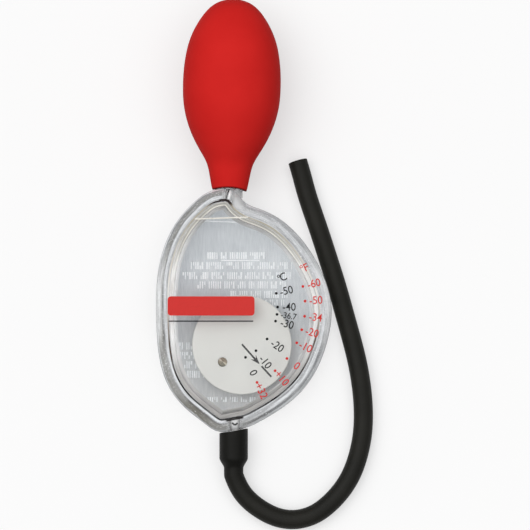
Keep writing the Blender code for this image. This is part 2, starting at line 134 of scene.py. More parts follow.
# Bulb
BULB_LENGTH = 89.0 * MM
BULB_RADIUS = 23.0 * MM
BULB_WALL = 2.2 * MM
BULB_LEAN_DEG = -1.3
BULB_PROFILE_SHARES = (
    (0.353, 0.0), (0.415, 0.07), (0.478, 0.13), (0.63, 0.2), (0.795, 0.28), (0.915, 0.365),
    (0.982, 0.45), (1.0, 0.535), (0.988, 0.63), (0.92, 0.745), (0.8, 0.833), (0.625, 0.91),
    (0.38, 0.973), (0.0, 1.0),
)
LIP_ROUND = 0.5 * MM
LIP_DROPS = in_mm(1.0, 1.6)
LIP_DROP_REACH = 9.0 * MM
LIP_SHADE_REACH = 0.9 * MM

# Hose: a cuff on the spigot, then the free tube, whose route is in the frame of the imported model
CUFF_RADIUS = 6.7 * MM
CUFF_LENGTH = 12.7 * MM
CUFF_TAPER = 5.0 * MM
CUFF_MOUTH_ROUND = 0.3 * MM
CUFF_EDGE_STEPS = in_mm((0.4, 0.0), (0.1, 0.12), (0.0, 0.45))
CUFF_EDGE_REACH = 0.9 * MM
CUFF_SHADE = in_mm(10.0, 22.0)
HOSE_RADIUS = 4.55 * MM
HOSE_BORE_RADIUS = 2.7 * MM
HOSE_LEAD = 3.0 * MM
HOSE_BORE_DEPTH = 30.0 * MM
HOSE_EDGE_ROUND = 0.35 * MM
CUFF_RINGS = 36
HOSE_RINGS = 200
HOSE_ROUTE = in_mm(
    (-3.5, -118.7, 6.3), (-1.0, -123.3, 5.8), (2.5, -127.4, 5.3), (6.9, -130.9, 4.9),
    (12.3, -134.0, 4.7), (17.5, -135.8, 4.6), (22.7, -136.4, 4.6), (27.8, -135.8, 4.6),
    (33.5, -133.7, 4.6), (39.1, -129.8, 4.6), (44.3, -124.6, 4.6), (49.0, -118.0, 4.6),
    (52.5, -110.3, 4.6), (54.8, -102.0, 4.6), (56.0, -94.0, 4.6), (56.2, -83.7, 4.6),
    (55.2, -72.4, 4.6), (53.2, -61.1, 4.6), (50.4, -49.9, 4.6), (47.3, -38.6, 4.6),
    (43.9, -26.4, 4.6), (40.4, -15.1, 4.6), (36.8, -3.8, 4.6), (33.2, 7.0, 4.6),
    (29.7, 17.8, 4.6), (27.4, 26.3, 4.6), (25.4, 33.3, 4.6),
)

# Printed scales, about the pivot: text, angle in degrees and distance of the label's middle in millimetres
DOT_RADIUS = 0.66 * MM
LABEL_HEIGHT = 3.8 * MM
SMALL_LABEL_HEIGHT = 2.9 * MM
CAPITAL_SHARE = 0.729
LETTER_WIDTH_SHARE = 0.92
LETTER_BOLD = 0.035 * MM
PRINT_THICKNESS = 0.04 * MM
PRINT_LIFT = 0.02 * MM
FAHRENHEIT_DOTS = 39.7 * MM
FAHRENHEIT_LABELS = (
    ("-60", 13.3, 45.0), ("-50", 3.2, 44.8), ("-34", -7.0, 44.9), ("-20", -16.3, 44.7),
    ("-10", -25.8, 44.3), ("0", -38.3, 45.5), ("+10", -49.8, 44.4), ("+32", -64.4, 44.1),
)
CELSIUS_DOTS = 26.8 * MM
CELSIUS_LABELS = (
    ("-50", 12.7, 31.7), ("-40", -1.1, 32.2), ("-36.7", -8.5, 32.3), ("-30", -15.4, 32.4),
    ("-20", -35.3, 32.6), ("-10", -51.5, 33.7), ("0", -63.9, 34.9),
)
CELSIUS_SIGN = ("C", 24.5, 32.4)
FAHRENHEIT_SIGN = ("F", 24.0, 43.9)
DEGREE_OFFSET = in_mm(-1.9, 1.35)
DEGREE_RADIUS = 0.72 * MM
DEGREE_STROKE = 0.36 * MM

# Seam of the shells, its wide places with their width and reach, and its tones up the case: a dark joint
# line, painted darker as shade towards the foot and the top and pale as a painted highlight at mid height
SEAM_WIDTH = 0.85 * MM
SEAM_BLUR_SHARE = 0.8
SEAM_WIDE_SPOTS = (
    (0.447 * CASE_WIDTH, 6.6 * MM, 1.7 * MM, 4.8 * MM),
    (0.4 * CASE_WIDTH, 107.4 * MM, 1.3 * MM, 3.9 * MM),
)
SEAM_PAINTED_TONES = (
    (0.0, (0.005, 0.004, 0.004)), (0.2, (0.01, 0.006, 0.005)), (0.36, (0.11, 0.08, 0.065)),
    (0.47, (0.5, 0.45, 0.4)), (0.56, (0.8, 0.78, 0.74)), (0.64, (0.7, 0.66, 0.6)),
    (0.8, (0.42, 0.39, 0.31)), (0.9, (0.42, 0.38, 0.3)), (0.918, (0.012, 0.003, 0.003)),
)

# Painted highlights and dark lines where the neck and the inlet bend the light: two ends and width in
# millimetres, tone and strength
PAINTED_REFRACTION_STROKES = (
    ((38.6, 104.0), (38.6, 113.5), 5.2, 0.82, 0.4), ((34.1, 108.8), (35.0, 113.2), 1.0, 0.95, 0.85),
    ((32.7, 108.6), (34.4, 113.8), 0.55, 0.01, 1.0), ((36.9, 6.0), (36.9, 0.9), 3.0, 0.95, 0.65),
    ((34.9, 6.7), (35.3, 0.6), 0.4, 0.04, 0.85), ((39.1, 6.7), (38.9, 1.5), 0.4, 0.04, 0.85),
    ((35.6, 4.2), (37.0, 3.1), 0.85, 0.01, 1.0), ((37.0, 3.1), (38.4, 4.1), 0.85, 0.01, 1.0),
)

# Raised and printed marks: fill line, plain rows of bars, band, rule and the float's arrow
FILL_LINE = in_mm((18.5, 99.5), (42.9, 100.3))
FILL_LINE_WIDTH = 0.75 * MM
FILL_LINE_HEIGHT = 0.3 * MM
# A pale raised line on the back plate, just below the fill line: a painted reflection of the fill line
FILL_LINE_REFLECTION = in_mm((20.5, 99.0), (38.5, 98.3))
UNDERLINE = in_mm((30.5, 80.3), (48.3, 80.3))
BAR_ROWS = in_mm(
    (24.3, 51.6, 82.6, 3.3), (16.4, 64.1, 77.9, 3.4), (12.6, 64.8, 73.2, 3.4), (19.6, 61.0, 68.8, 3.4),
    (35.2, 61.9, 64.3, 3.4), (40.0, 60.5, 60.5, 2.8), (8.0, 48.0, 40.1, 3.4), (10.2, 50.0, 35.6, 3.4),
    (13.3, 46.0, 31.2, 3.4), (14.8, 44.0, 26.7, 3.4), (24.3, 46.9, 14.8, 2.3),
)
BAR_WIDTH = 0.56 * MM
BAR_PITCH = 1.05 * MM
BAR_RISE = 0.22 * MM
BAR_TAPER = 0.12 * MM
BAR_SEED = 7
BAR_RUN = (3, 8)
BAR_HEIGHT_SHARES = (1.0, 1.0, 1.0, 0.5)
BAR_WIDTH_SHARES = (1.0, 1.0, 1.5)
BAR_MARGIN = RIM_WIDTH + 1.2 * MM
BAND = in_mm(5.55, 54.3, 46.2, 63.3)
BAND_ROUND = 1.6 * MM
RULE = in_mm((6.0, 51.7), (45.6, 51.7))
RULE_WIDTH = 0.6 * MM
ARROW_LINES = in_mm(((10.06, -17.95), (17.9, -26.8)), ((19.27, -28.25), (23.88, -33.28)))
ARROW_TIP = in_mm(18.42, -27.4)
ARROW_HEAD_LENGTH = 4.6 * MM
ARROW_HEAD_WIDTH = 3.2 * MM
ARROW_NOTCH_SHARE = 0.62
ARROW_LINE_WIDTH = 0.85 * MM

# Camera: square to the case's face, with the photograph's frame at the case's depth
FRAME_WIDTH = 249.1 * MM
VIEW_CENTRE = Vector(in_mm(51.1, 78.1, 0.0))
CAMERA_PITCH_DEG = 6.0
CAMERA_DISTANCE = 2.0
SENSOR_WIDTH = 36.0

# Painted reflections and shade on the rim, as light and dark bands: rows of distance from the case's edge in
# millimetres and tone
UPPER_LEFT_PAINTED_BANDS = (
    (0.0, 0.95), (0.6, 0.9), (0.8, 0.24), (1.1, 0.4), (1.8, (0.31, 0.31, 0.3)), (2.8, (0.24, 0.24, 0.23)),
    (3.2, 0.18), (3.5, 0.75), (4.2, 0.88), (4.8, 0.5), (5.2, 0.42), (5.5, 0.95), (6.1, 0.8),
)
LOWER_LEFT_PAINTED_BANDS = (
    (0.0, 0.95), (0.3, 0.4), (0.6, 0.9), (0.95, (0.28, 0.27, 0.24)), (2.8, (0.2, 0.19, 0.165)),
    (3.7, (0.11, 0.105, 0.095)), (4.1, 0.4), (4.5, 0.9), (5.4, 0.85), (6.1, 0.55),
)
UPPER_RIGHT_PAINTED_BANDS = (
    (0.0, 0.42), (0.4, 0.68), (1.2, 0.5), (1.9, 0.55), (3.0, 0.72), (4.0, 0.62), (4.8, 0.46), (5.4, 0.8),
    (6.1, 0.64),
)
LOWER_RIGHT_PAINTED_BANDS = (
    (0.0, 0.36), (0.3, 0.92), (1.1, 0.86), (1.6, 0.33), (2.4, 0.28), (2.9, 0.8), (3.8, 0.78), (4.3, 0.34),
    (4.9, 0.52), (5.3, 0.95), (6.1, 0.64),
)
BAND_TINT = (0.97, 0.995, 1.025)
BAND_WANDER = 1.1 * MM
CALM_TONE = (0.74, 0.755, 0.77)
# Painted highlight along the rim's outer edge at mid height: its tone and how far in it reaches, as shares of
# the rim's width
EDGE_HIGHLIGHT_TONE = (0.95, 0.96, 0.97)
EDGE_HIGHLIGHT_REACH_SHARES = (0.55, 0.3)
WALL_TONE = (0.9, 0.92, 0.93)
WALL_BLUR = in_mm(0.3, 0.03)
CLEAR_SPOTS = ((36.8 * MM, 5.4 * MM, 102.5 * MM, 1.0), (36.9 * MM, 3.3 * MM, 6.3 * MM, -1.0))
CLEAR_BLUR = 0.5 * MM
LEFT_TO_RIGHT = in_mm(-15.0, 15.0)
LOW_TO_HIGH = in_mm(-60.0, -25.0)

# Tones of the ledge and of the curve inside it, up the case, both white at mid height as a painted highlight
# and darker towards the foot, and the ledge's lines from its outer edge in
CASE_SPAN = in_mm(-95.0, 20.0)
LEDGE_PAINTED_TONES = (
    (0.0, (0.4, 0.385, 0.37)), (0.25, (0.5, 0.485, 0.47)), (0.36, (0.98, 0.98, 0.97)),
    (0.64, (0.98, 0.97, 0.94)), (0.78, (0.84, 0.82, 0.74)), (1.0, (0.84, 0.81, 0.74)),
)
LEDGE_LINES = (
    (0.0, 1.0), (0.18, 1.0), (0.24, 0.66), (0.38, 0.62), (0.45, 0.22), (0.53, 0.66), (0.6, 0.66), (0.68, 0.4),
    (0.77, 1.0), (0.9, 1.0), (1.0, 0.7),
)
CURVE_PAINTED_TONES = (
    (0.05, (0.4, 0.39, 0.375)), (0.24, (0.68, 0.67, 0.66)), (0.36, 0.97), (0.66, 0.97),
    (0.82, (0.46, 0.465, 0.46)),
)
CURVE_CLEARNESS = ((0.2, 0.1), (0.38, 0.5), (0.66, 0.5), (0.85, 0.15))

# Studio: a dome that is dark at the horizon, with a soft light overhead and a low one on either side
DOME_STOPS = ((0.0, 0.03), (0.4, 0.09), (0.7, 0.52), (0.82, 1.4), (0.95, 1.4), (1.0, 0.45))
KEY_DIRECTION = (-0.4, 0.25, 0.88)
KEY_STOPS = ((0.8, 0.0), (0.97, 1.4))
SIDE_SPREAD = ((0.8, 0.0), (0.92, 0.95))
SIDE_HEIGHT = ((0.0, 0.0), (0.05, 1.0), (0.24, 1.0), (0.34, 0.0))
BACKDROP = 1.0
FLOOR_REACH = 3.0
FLOOR_TONE = 0.94
FLOOR_BOUNCE = 0.25
FLOOR_GLOW_SHARE = 0.5


# Case frame

def case_matrix():
    """From the case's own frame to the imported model's, by the float's hinge."""
    joint = frame["joints"][0]
    forward = Vector(joint["axis"]).normalized()
    right = Vector((1.0, 0.0, 0.0))
    up = forward.cross(right).normalized()
    turn = Matrix((right, up, forward)).transposed()
    place = Vector(joint["pos_m"]) - turn @ PIVOT
    return Matrix.Translation(place) @ turn.to_4x4()


CASE = case_matrix()


# Nodes

def rgba(tone):
    """A colour, or a tone of grey, as a socket takes it."""
    return (*tone, 1.0) if isinstance(tone, tuple) else (tone, tone, tone, 1.0)


class Nodes:
    """A short way to write the nodes of a tree."""

    def __init__(self, tree):
        self.tree = tree

    def add(self, kind, links=None, **settings):
        node = self.tree.nodes.new(kind)
        for key, value in settings.items():
            setattr(node, key, value)
        for key, value in (links or {}).items():
            self.put(node.inputs[key], value)
        return node

    def put(self, socket, value):
        if isinstance(value, bpy.types.NodeSocket):
            self.tree.links.new(value, socket)
        else:
            socket.default_value = rgba(value) if socket.type == "RGBA" else value

    def math(self, operation, *values):
        return self.add("ShaderNodeMath", dict(enumerate(values)), operation=operation).outputs[0]

    def split(self, vector):
        return self.add("ShaderNodeSeparateXYZ", {0: vector}).outputs

    def ramp(self, value, *stops):
        node = self.add("ShaderNodeValToRGB", {"Fac": value})
        elements = node.color_ramp.elements
        while len(elements) < len(stops):
            elements.new(0.5)
        for element, (position, tone) in zip(elements, stops):
            element.position = position
            element.color = rgba(tone)
        return node.outputs["Color"]

    def rays(self, *kinds):
        """One for rays of these kinds and zero for all others."""
        path = self.add("ShaderNodeLightPath").outputs
        total = path[f"Is {kinds[0]} Ray"]
        for kind in kinds[1:]:
            total = self.math("MAXIMUM", total, path[f"Is {kind} Ray"])
        return total


class Material(Nodes):
    """The nodes of a material, with what the materials of the case share."""

    def __init__(self, name):
        self.material = bpy.data.materials.new(name)
        self.material.use_nodes = True
        super().__init__(self.material.node_tree)
        self.shader = self.tree.nodes["Principled BSDF"]
        self.place = self.add("ShaderNodeTexCoord").outputs["Object"]

    def set(self, **values):
        for key, value in values.items():
            self.put(self.shader.inputs[key.replace("_", " ")], value)

    def noise(self, scale, detail=2.0, stretch=None, roughness=0.5, place=None):
        place = self.place if place is None else place
        if stretch:
            place = self.add("ShaderNodeMapping", {"Vector": place, "Scale": stretch}).outputs["Vector"]
        links = {"Vector": place, "Scale": scale, "Detail": detail, "Roughness": roughness}
        return self.add("ShaderNodeTexNoise", links).outputs["Fac"]

    def blend(self, mode, first, second, factor=1.0):
        links = {0: factor, 6: first, 7: second}
        return self.add("ShaderNodeMix", links, data_type="RGBA", blend_type=mode).outputs[2]

    def bump(self, height, strength, distance, normal=None):
        links = {"Height": height, "Strength": strength, "Distance": distance}
        if normal:
            links["Normal"] = normal
        return self.add("ShaderNodeBump", links).outputs["Normal"]

    def drift(self, scale, low, high, detail=3.0):
        """A colour that drifts between two tones."""
        return self.ramp(self.noise(scale, detail), (0.3, low), (0.7, high))

    def grain(self, noise, low, high, strength, depth):
        """Roughness between two values, and relief, that follow a fine noise."""
        self.set(Roughness=self.ramp(noise, (0.2, low), (0.8, high)))
        self.set(Normal=self.bump(noise, strength, depth))

    def share(self, value, low, high):
        """Zero at the first limit, one at the second and even between them."""
        links = {"Value": value, "From Min": low, "From Max": high}
        return self.add("ShaderNodeMapRange", links).outputs["Result"]

    def off(self, value, middle):
        return self.math("ABSOLUTE", self.math("SUBTRACT", value, middle))

    def away(self, place):
        """The distance from a place in the case's own frame."""
        links = {0: self.place, 1: tuple(CASE @ Vector(place))}
        return self.add("ShaderNodeVectorMath", links, operation="DISTANCE").outputs["Value"]

    def by_height(self, *stops):
        """Tones from the foot of the case to its top."""
        return self.ramp(self.share(self.split(self.place)["Y"], *CASE_SPAN), *stops)

    def rim(self):
        """The nearest place on the case's outline, with the distance from there as its third value."""
        return self.add("ShaderNodeAttribute", attribute_name="rim").outputs["Vector"]

    def inward(self):
        """The distance from the case's outline."""
        return self.split(self.rim())["Z"]

    def flow(self, scale, along=0.12):
        """Noise that runs slowly along the case's outline and fast across it."""
        return self.noise(scale, 3.0, (along, along, 1.0), place=self.rim())

    def cover(self, shader, share):
        """Puts another shader over the surface."""
        mix = self.add("ShaderNodeMixShader", {0: share, 1: self.shader.outputs[0], 2: shader})
        self.tree.links.new(mix.outputs[0], self.tree.nodes["Material Output"].inputs["Surface"])

    def let_light_in(self):
        """Light on its way to or from a matt surface passes straight through, as in a clear wall."""
        straight = self.add("ShaderNodeBsdfTransparent", {"Color": 0.97}).outputs[0]
        self.cover(straight, self.rays("Shadow", "Diffuse"))


# Camera and stage

def make_camera():
    data = bpy.data.cameras.new("camera")
    data.sensor_width = SENSOR_WIDTH
    data.lens = SENSOR_WIDTH * CAMERA_DISTANCE / FRAME_WIDTH
    data.clip_end = 4.0 * CAMERA_DISTANCE
    camera = bpy.data.objects.new("camera", data)
    bpy.context.scene.collection.objects.link(camera)
    pitch = math.radians(CAMERA_PITCH_DEG)
    back = Vector((0.0, -math.sin(pitch), math.cos(pitch)))
    camera.location = CASE @ VIEW_CENTRE + CAMERA_DISTANCE * back
    camera.rotation_euler = (pitch, 0.0, 0.0)
    bpy.context.scene.camera = camera


def make_stage():
    """A floor that is white to the camera and keeps the tester's soft shadow."""
    mesh_data = bmesh.new()
    corners = [(x * FLOOR_REACH, y * FLOOR_REACH, 0.0) for x, y in SQUARE]
    mesh_data.faces.new([mesh_data.verts.new(point) for point in corners])
    nodes = Material("floor")
    seen = nodes.rays("Camera", "Glossy", "Transmission")
    nodes.set(Base_Color=nodes.ramp(seen, (0.0, FLOOR_BOUNCE), (1.0, FLOOR_TONE)))
    nodes.set(Roughness=0.9, Specular_IOR_Level=0.0)
    glow = nodes.add("ShaderNodeEmission").outputs[0]
    nodes.cover(glow, nodes.math("MULTIPLY", seen, FLOOR_GLOW_SHARE))
    finish_mesh("floor", mesh_data, [nodes.material])


def make_world():
    """A soft dome with a light overhead and one on either side, and a white backdrop for the camera."""
    world = bpy.data.worlds.new("studio")
    bpy.context.scene.world = world
    world.use_nodes = True
    nodes = Nodes(world.node_tree)
    place = nodes.add("ShaderNodeTexCoord").outputs["Generated"]
    x, _, z = nodes.split(place)
    links = {0: place, 1: tuple(Vector(KEY_DIRECTION).normalized())}
    toward = nodes.add("ShaderNodeVectorMath", links, operation="DOT_PRODUCT").outputs["Value"]
    spread = nodes.ramp(nodes.math("ABSOLUTE", x), *SIDE_SPREAD)
    sides = nodes.math("MULTIPLY", spread, nodes.ramp(z, *SIDE_HEIGHT))
    above = nodes.math("ADD", nodes.ramp(z, *DOME_STOPS), nodes.ramp(toward, *KEY_STOPS))
    light = nodes.math("ADD", above, sides)
    seen = nodes.rays("Camera", "Transmission")
    mix = nodes.add("ShaderNodeMix", {"Factor": seen, "A": light, "B": BACKDROP})
    nodes.tree.links.new(mix.outputs["Result"], nodes.tree.nodes["Background"].inputs["Color"])


# Materials

PLASTIC_IOR = 1.49


def clear_plastic():
    """Polished clear plastic."""
    nodes = Material("clear_plastic")
    color = nodes.drift(60.0, (0.985, 0.99, 0.995), (0.965, 0.97, 0.98), 2.0)
    nodes.set(Base_Color=color, IOR=PLASTIC_IOR, Transmission_Weight=1.0)
    nodes.set(Roughness=nodes.ramp(nodes.noise(300.0), (0.3, 0.015), (0.8, 0.05)))
    nodes.let_light_in()
    return nodes.material


def painted_rim_bands(nodes, flow):
    """Light and dark bands of painted reflection and shade along the outline, with their own rows in each
    quarter, which fade in places.
    """
    across = nodes.inward()
    wander = nodes.math("MULTIPLY_ADD", flow, BAND_WANDER, across)
    share = nodes.share(wander, BAND_WANDER / 2.0, RIM_WIDTH + BAND_WANDER / 2.0)
    rows = []
    for bands in (UPPER_LEFT_PAINTED_BANDS, LOWER_LEFT_PAINTED_BANDS, UPPER_RIGHT_PAINTED_BANDS, LOWER_RIGHT_PAINTED_BANDS):
        stops = []
        for distance, tone in bands:
            color = tone if isinstance(tone, tuple) else tuple(tone * tint for tint in BAND_TINT)
            stops.append((distance * MM / RIM_WIDTH, color))
        rows.append(nodes.ramp(share, *stops))
    x, y, _ = nodes.split(nodes.place)
    upper = nodes.share(y, *LOW_TO_HIGH)
    left = nodes.blend("MIX", rows[1], rows[0], upper)
    right = nodes.blend("MIX", rows[3], rows[2], upper)
    base = nodes.blend("MIX", left, right, nodes.share(x, *LEFT_TO_RIGHT))
    calm = nodes.ramp(nodes.flow(150.0, along=0.3), (0.45, 0.0), (0.62, 0.6))
    calm = nodes.blend("MULTIPLY", calm, nodes.by_height((0.1, 0.35), (0.45, 1.0), (0.62, 1.0), (0.86, 0.4)))
    base = nodes.blend("MIX", base, CALM_TONE, calm)
    # A painted highlight along the outer edge, at mid height
    outermost = nodes.share(across, *(RIM_WIDTH * reach for reach in EDGE_HIGHLIGHT_REACH_SHARES))
    edge_highlight = nodes.by_height((0.3, 0.0), (0.42, 0.85), (0.6, 0.85), (0.76, 0.0))
    return nodes.blend("MIX", base, EDGE_HIGHLIGHT_TONE, nodes.blend("MULTIPLY", edge_highlight, outermost))


def clear_share(nodes):
    """One where the front's rim stays clear, over the neck's bore and over the inlet."""
    x, y, _ = nodes.split(nodes.place)
    total = 0.0
    for spot_x, reach, spot_y, side in CLEAR_SPOTS:
        spot = CASE @ Vector((spot_x, spot_y, 0.0))
        beside = nodes.share(nodes.off(x, spot.x), reach + CLEAR_BLUR, reach - CLEAR_BLUR)
        beyond = nodes.share(y, spot.y - side * CLEAR_BLUR, spot.y + side * CLEAR_BLUR)
        total = nodes.math("MAXIMUM", nodes.math("MULTIPLY", beside, beyond), total)
    return total


def seam_share(nodes, across):
    """One on the seam that shows along the inner edge of the rim, wider at the inlet and under the neck."""
    total = nodes.share(across, RIM_WIDTH - SEAM_WIDTH, RIM_WIDTH - SEAM_BLUR_SHARE * SEAM_WIDTH)
    for x, y, width, reach in SEAM_WIDE_SPOTS:
        near = nodes.share(nodes.away((x, y, CASE_THICKNESS / 2.0)), reach, SEAM_BLUR_SHARE * reach)
        wide = nodes.share(across, RIM_WIDTH - width, RIM_WIDTH - SEAM_BLUR_SHARE * width)
        total = nodes.math("MAXIMUM", total, nodes.math("MULTIPLY", wide, near))
    return total


def stroke_share(nodes, start, end, width):
    """One within half a width of a straight line on the case's face."""
    low, high = (CASE @ Vector((*point, CASE_THICKNESS / 2.0)) for point in (start, end))
    run = high - low
    links = {"Vector": nodes.place, "Location": tuple(low), "Rotation": (0.0, 0.0, math.atan2(run.y, run.x))}
    x, y, _ = nodes.split(nodes.add("ShaderNodeMapping", links, vector_type="TEXTURE").outputs["Vector"])
    half = math.hypot(run.x, run.y) / 2.0
    beside = nodes.share(nodes.off(x, half), half + width / 4.0, half - width / 4.0)
    return nodes.math("MULTIPLY", beside, nodes.share(nodes.off(y, 0.0), 0.75 * width, 0.25 * width))


def rim_plastic(name, see_through):
    """The rim: hazed plastic with painted bands of reflection and shade along the outline, mottled, with
    painted reflection streaks along its flow and painted white glints.
    """
    nodes = Material(name)
    flow = nodes.flow(700.0)
    mottle = nodes.noise(1100.0, 3.0, roughness=0.65)
    # Painted reflection: streaks that lighten and darken the tone along the outline, and white specks that
    # are painted glints
    reflection_streaks = nodes.ramp(nodes.flow(2600.0, along=0.04), (0.35, 0.74), (0.52, 1.04))
    spots = nodes.ramp(mottle, (0.36, 0.88), (0.58, 1.0))
    painted_glints = nodes.ramp(nodes.noise(1700.0), (0.63, 0.0), (0.69, 0.7))
    base = nodes.blend("MULTIPLY", painted_rim_bands(nodes, flow), nodes.blend("MULTIPLY", reflection_streaks, spots))
    base = nodes.blend("MIX", base, (0.98, 0.99, 1.0), painted_glints)
    across = nodes.inward()
    wall = nodes.share(across, *WALL_BLUR)
    base = nodes.blend("MIX", base, WALL_TONE, nodes.math("MULTIPLY", wall, 0.8))
    clear = nodes.blend("MIX", nodes.ramp(flow, (0.35, 0.03), (0.65, 0.2)), 0.85, wall)
    layers = []
    if see_through:
        layers.append((nodes.math("MULTIPLY", clear_share(nodes), 0.85), 0.98, 1.0))
        # Painted highlights and dark lines where the neck and the inlet bend the light
        for start, end, width, tone, strength in PAINTED_REFRACTION_STROKES:
            stroke_at = stroke_share(nodes, *in_mm(start, end, width))
            layers.append((nodes.math("MULTIPLY", stroke_at, strength), tone, 0.1))
        # The seam: a dark joint line whose tone up the case is painted, with shade towards the foot and the
        # top and a pale highlight at mid height
        seam = nodes.math("MULTIPLY", seam_share(nodes, across), nodes.ramp(flow, (0.3, 0.7), (0.5, 1.0)))
        layers.append((seam, nodes.by_height(*SEAM_PAINTED_TONES), 0.0))
    for share, tone, clearness in layers:
        base = nodes.blend("MIX", base, tone, share)
        clear = nodes.blend("MIX", clear, clearness, share)
    nodes.set(Base_Color=base, IOR=PLASTIC_IOR, Transmission_Weight=clear, Specular_IOR_Level=0.3)
    nodes.set(Roughness=nodes.ramp(mottle, (0.3, 0.06), (0.7, 0.22)))
    nodes.set(Normal=nodes.bump(mottle, 0.12, 0.08 * MM, nodes.bump(flow, 0.3, 0.3 * MM)))
    nodes.let_light_in()
    return nodes.material


def ledge_plastic():
    """The faintly yellowed ledge around the chamber, with a painted highlight at mid height and darker
    towards the foot.
    """
    nodes = Material("ledge_plastic")
    flow = nodes.flow(900.0)
    base = nodes.blend("MULTIPLY", nodes.by_height(*LEDGE_PAINTED_TONES), nodes.ramp(flow, (0.35, 0.8), (0.55, 1.0)))
    lines = nodes.ramp(nodes.share(nodes.inward(), RIM_WIDTH, RIM_WIDTH + LEDGE_WIDTH), *LEDGE_LINES)
    base = nodes.blend("MULTIPLY", base, lines, nodes.by_height((0.62, 0.0), (0.78, 1.0)))
    nodes.set(Base_Color=base, IOR=PLASTIC_IOR, Transmission_Weight=0.06)
    nodes.set(Roughness=nodes.ramp(flow, (0.3, 0.15), (0.7, 0.3)))
    return nodes.material


def curve_plastic():
    """The inner curve between the ledge and the window, clearest at the middle of the case's height, where it
    is painted white as a highlight, and darker towards the foot and the top.
    """
    nodes = Material("curve_plastic")
    flow = nodes.flow(900.0)
    base = nodes.blend("MULTIPLY", nodes.by_height(*CURVE_PAINTED_TONES), nodes.ramp(flow, (0.3, 0.85), (0.6, 1.0)))
    nodes.set(Base_Color=base, IOR=PLASTIC_IOR, Transmission_Weight=nodes.by_height(*CURVE_CLEARNESS))
    nodes.set(Roughness=nodes.ramp(flow, (0.3, 0.02), (0.7, 0.08)))
    nodes.let_light_in()
    return nodes.material


def frosted_back():
    """The greyed back plate, brushed along its height."""
    nodes = Material("frosted_back")
    brush = nodes.noise(1500.0, 3.0, stretch=(1.0, 0.07, 1.0))
    shade = nodes.add("ShaderNodeMix", {"Factor": 0.45, "A": nodes.noise(45.0, 3.0), "B": brush})
    base = nodes.ramp(shade.outputs["Result"], (0.35, (0.47, 0.5, 0.525)), (0.65, (0.67, 0.695, 0.71)))
    tint = nodes.by_height((0.08, (0.88, 0.85, 0.82)), (0.4, (0.93, 0.925, 0.92)), (0.6, (0.98, 0.99, 1.0)))
    nodes.set(Base_Color=nodes.blend("MULTIPLY", base, tint), IOR=PLASTIC_IOR)
    nodes.grain(brush, 0.32, 0.5, 0.35, 0.12 * MM)
    return nodes.material


def red_rubber():
    """Satin red rubber, darker in the shade of its lip."""
    nodes = Material("red_rubber")
    lip = nodes.add("ShaderNodeAttribute", attribute_name="lip").outputs["Fac"]
    shade = nodes.ramp(nodes.share(lip, 0.0, LIP_SHADE_REACH), (0.3, 0.2), (1.0, 1.0))
    base = nodes.drift(40.0, (0.6, 0.016, 0.014), (0.66, 0.02, 0.017))
    nodes.set(Base_Color=nodes.blend("MULTIPLY", base, shade), Specular_IOR_Level=0.1, IOR=1.3)
    nodes.grain(nodes.noise(2600.0), 0.55, 0.7, 0.25, 0.08 * MM)
    return nodes.material


def black_rubber():
    """Satin black rubber, darker on the cuff."""
    nodes = Material("black_rubber")
    away = nodes.away((SPIGOT_X, -CUFF_LENGTH / 2.0, 0.0))
    shade = nodes.ramp(nodes.share(away, *CUFF_SHADE), (0.0, 0.4), (1.0, 1.0))
    base = nodes.drift(70.0, (0.011, 0.011, 0.009), (0.016, 0.0155, 0.0125))
    nodes.set(Base_Color=nodes.blend("MULTIPLY", base, shade), Specular_IOR_Level=0.25, IOR=1.36)
    nodes.grain(nodes.noise(1500.0, 3.0), 0.45, 0.6, 0.2, 0.08 * MM)
    return nodes.material


def ivory_plastic():
    nodes = Material("ivory_plastic")
    nodes.set(Base_Color=nodes.drift(50.0, (0.69, 0.685, 0.645), (0.73, 0.73, 0.69)))
    nodes.grain(nodes.noise(1200.0), 0.38, 0.5, 0.08, 0.05 * MM)
    return nodes.material


def turned_metal():
    """Dull brass whose face was turned, with two bright fans of painted highlight on it and painted shade
    between them.
    """
    nodes = Material("turned_metal")
    generated = nodes.add("ShaderNodeTexCoord").outputs["Generated"]
    middle = nodes.add("ShaderNodeMapping", {"Vector": generated, "Location": (-0.5, -0.5, 0.0)})
    links = {"Vector": middle.outputs["Vector"]}
    angle = nodes.add("ShaderNodeTexGradient", links, gradient_type="RADIAL").outputs["Fac"]
    wear = nodes.ramp(nodes.noise(900.0, 3.0), (0.35, 0.75), (0.6, 1.0))
    nodes.set(Base_Color=nodes.blend("MULTIPLY", nodes.ramp(angle, *PAINTED_HIGHLIGHT_FANS), wear), Metallic=1.0)
    nodes.set(Roughness=nodes.ramp(nodes.noise(2500.0, 3.0), (0.2, 0.32), (0.8, 0.45)), Anisotropic=0.97)
    nodes.set(Tangent=nodes.add("ShaderNodeTangent", direction_type="RADIAL", axis="Z").outputs[0])
    return nodes.material


def print_ink(name, color):
    nodes = Material(name)
    dense = tuple(0.85 * c for c in color)
    nodes.set(Base_Color=nodes.drift(2500.0, color, dense, 2.0), Roughness=0.5, Specular_IOR_Level=0.15)
    return nodes.material


def even_plastic(name, scale, low, high, roughness):
    nodes = Material(name)
    nodes.set(Base_Color=nodes.drift(scale, low, high, 2.0), Roughness=roughness)
    return nodes.material


# Curves, as in the construction

def unit(rows):
    """The same directions, of length one."""
    return rows / np.linalg.norm(rows, axis=-1, keepdims=True)


def at_height(ring, height):
    return np.column_stack([ring, np.full(len(ring), height)])


def arc(centre, radius, start_deg, end_deg, steps=EDGE_STEPS):
    """Points on a circle, from one angle to another."""
    angles = np.radians(np.linspace(start_deg, end_deg, steps + 1))
    return np.column_stack([centre[0] + radius * np.cos(angles), centre[1] + radius * np.sin(angles)])


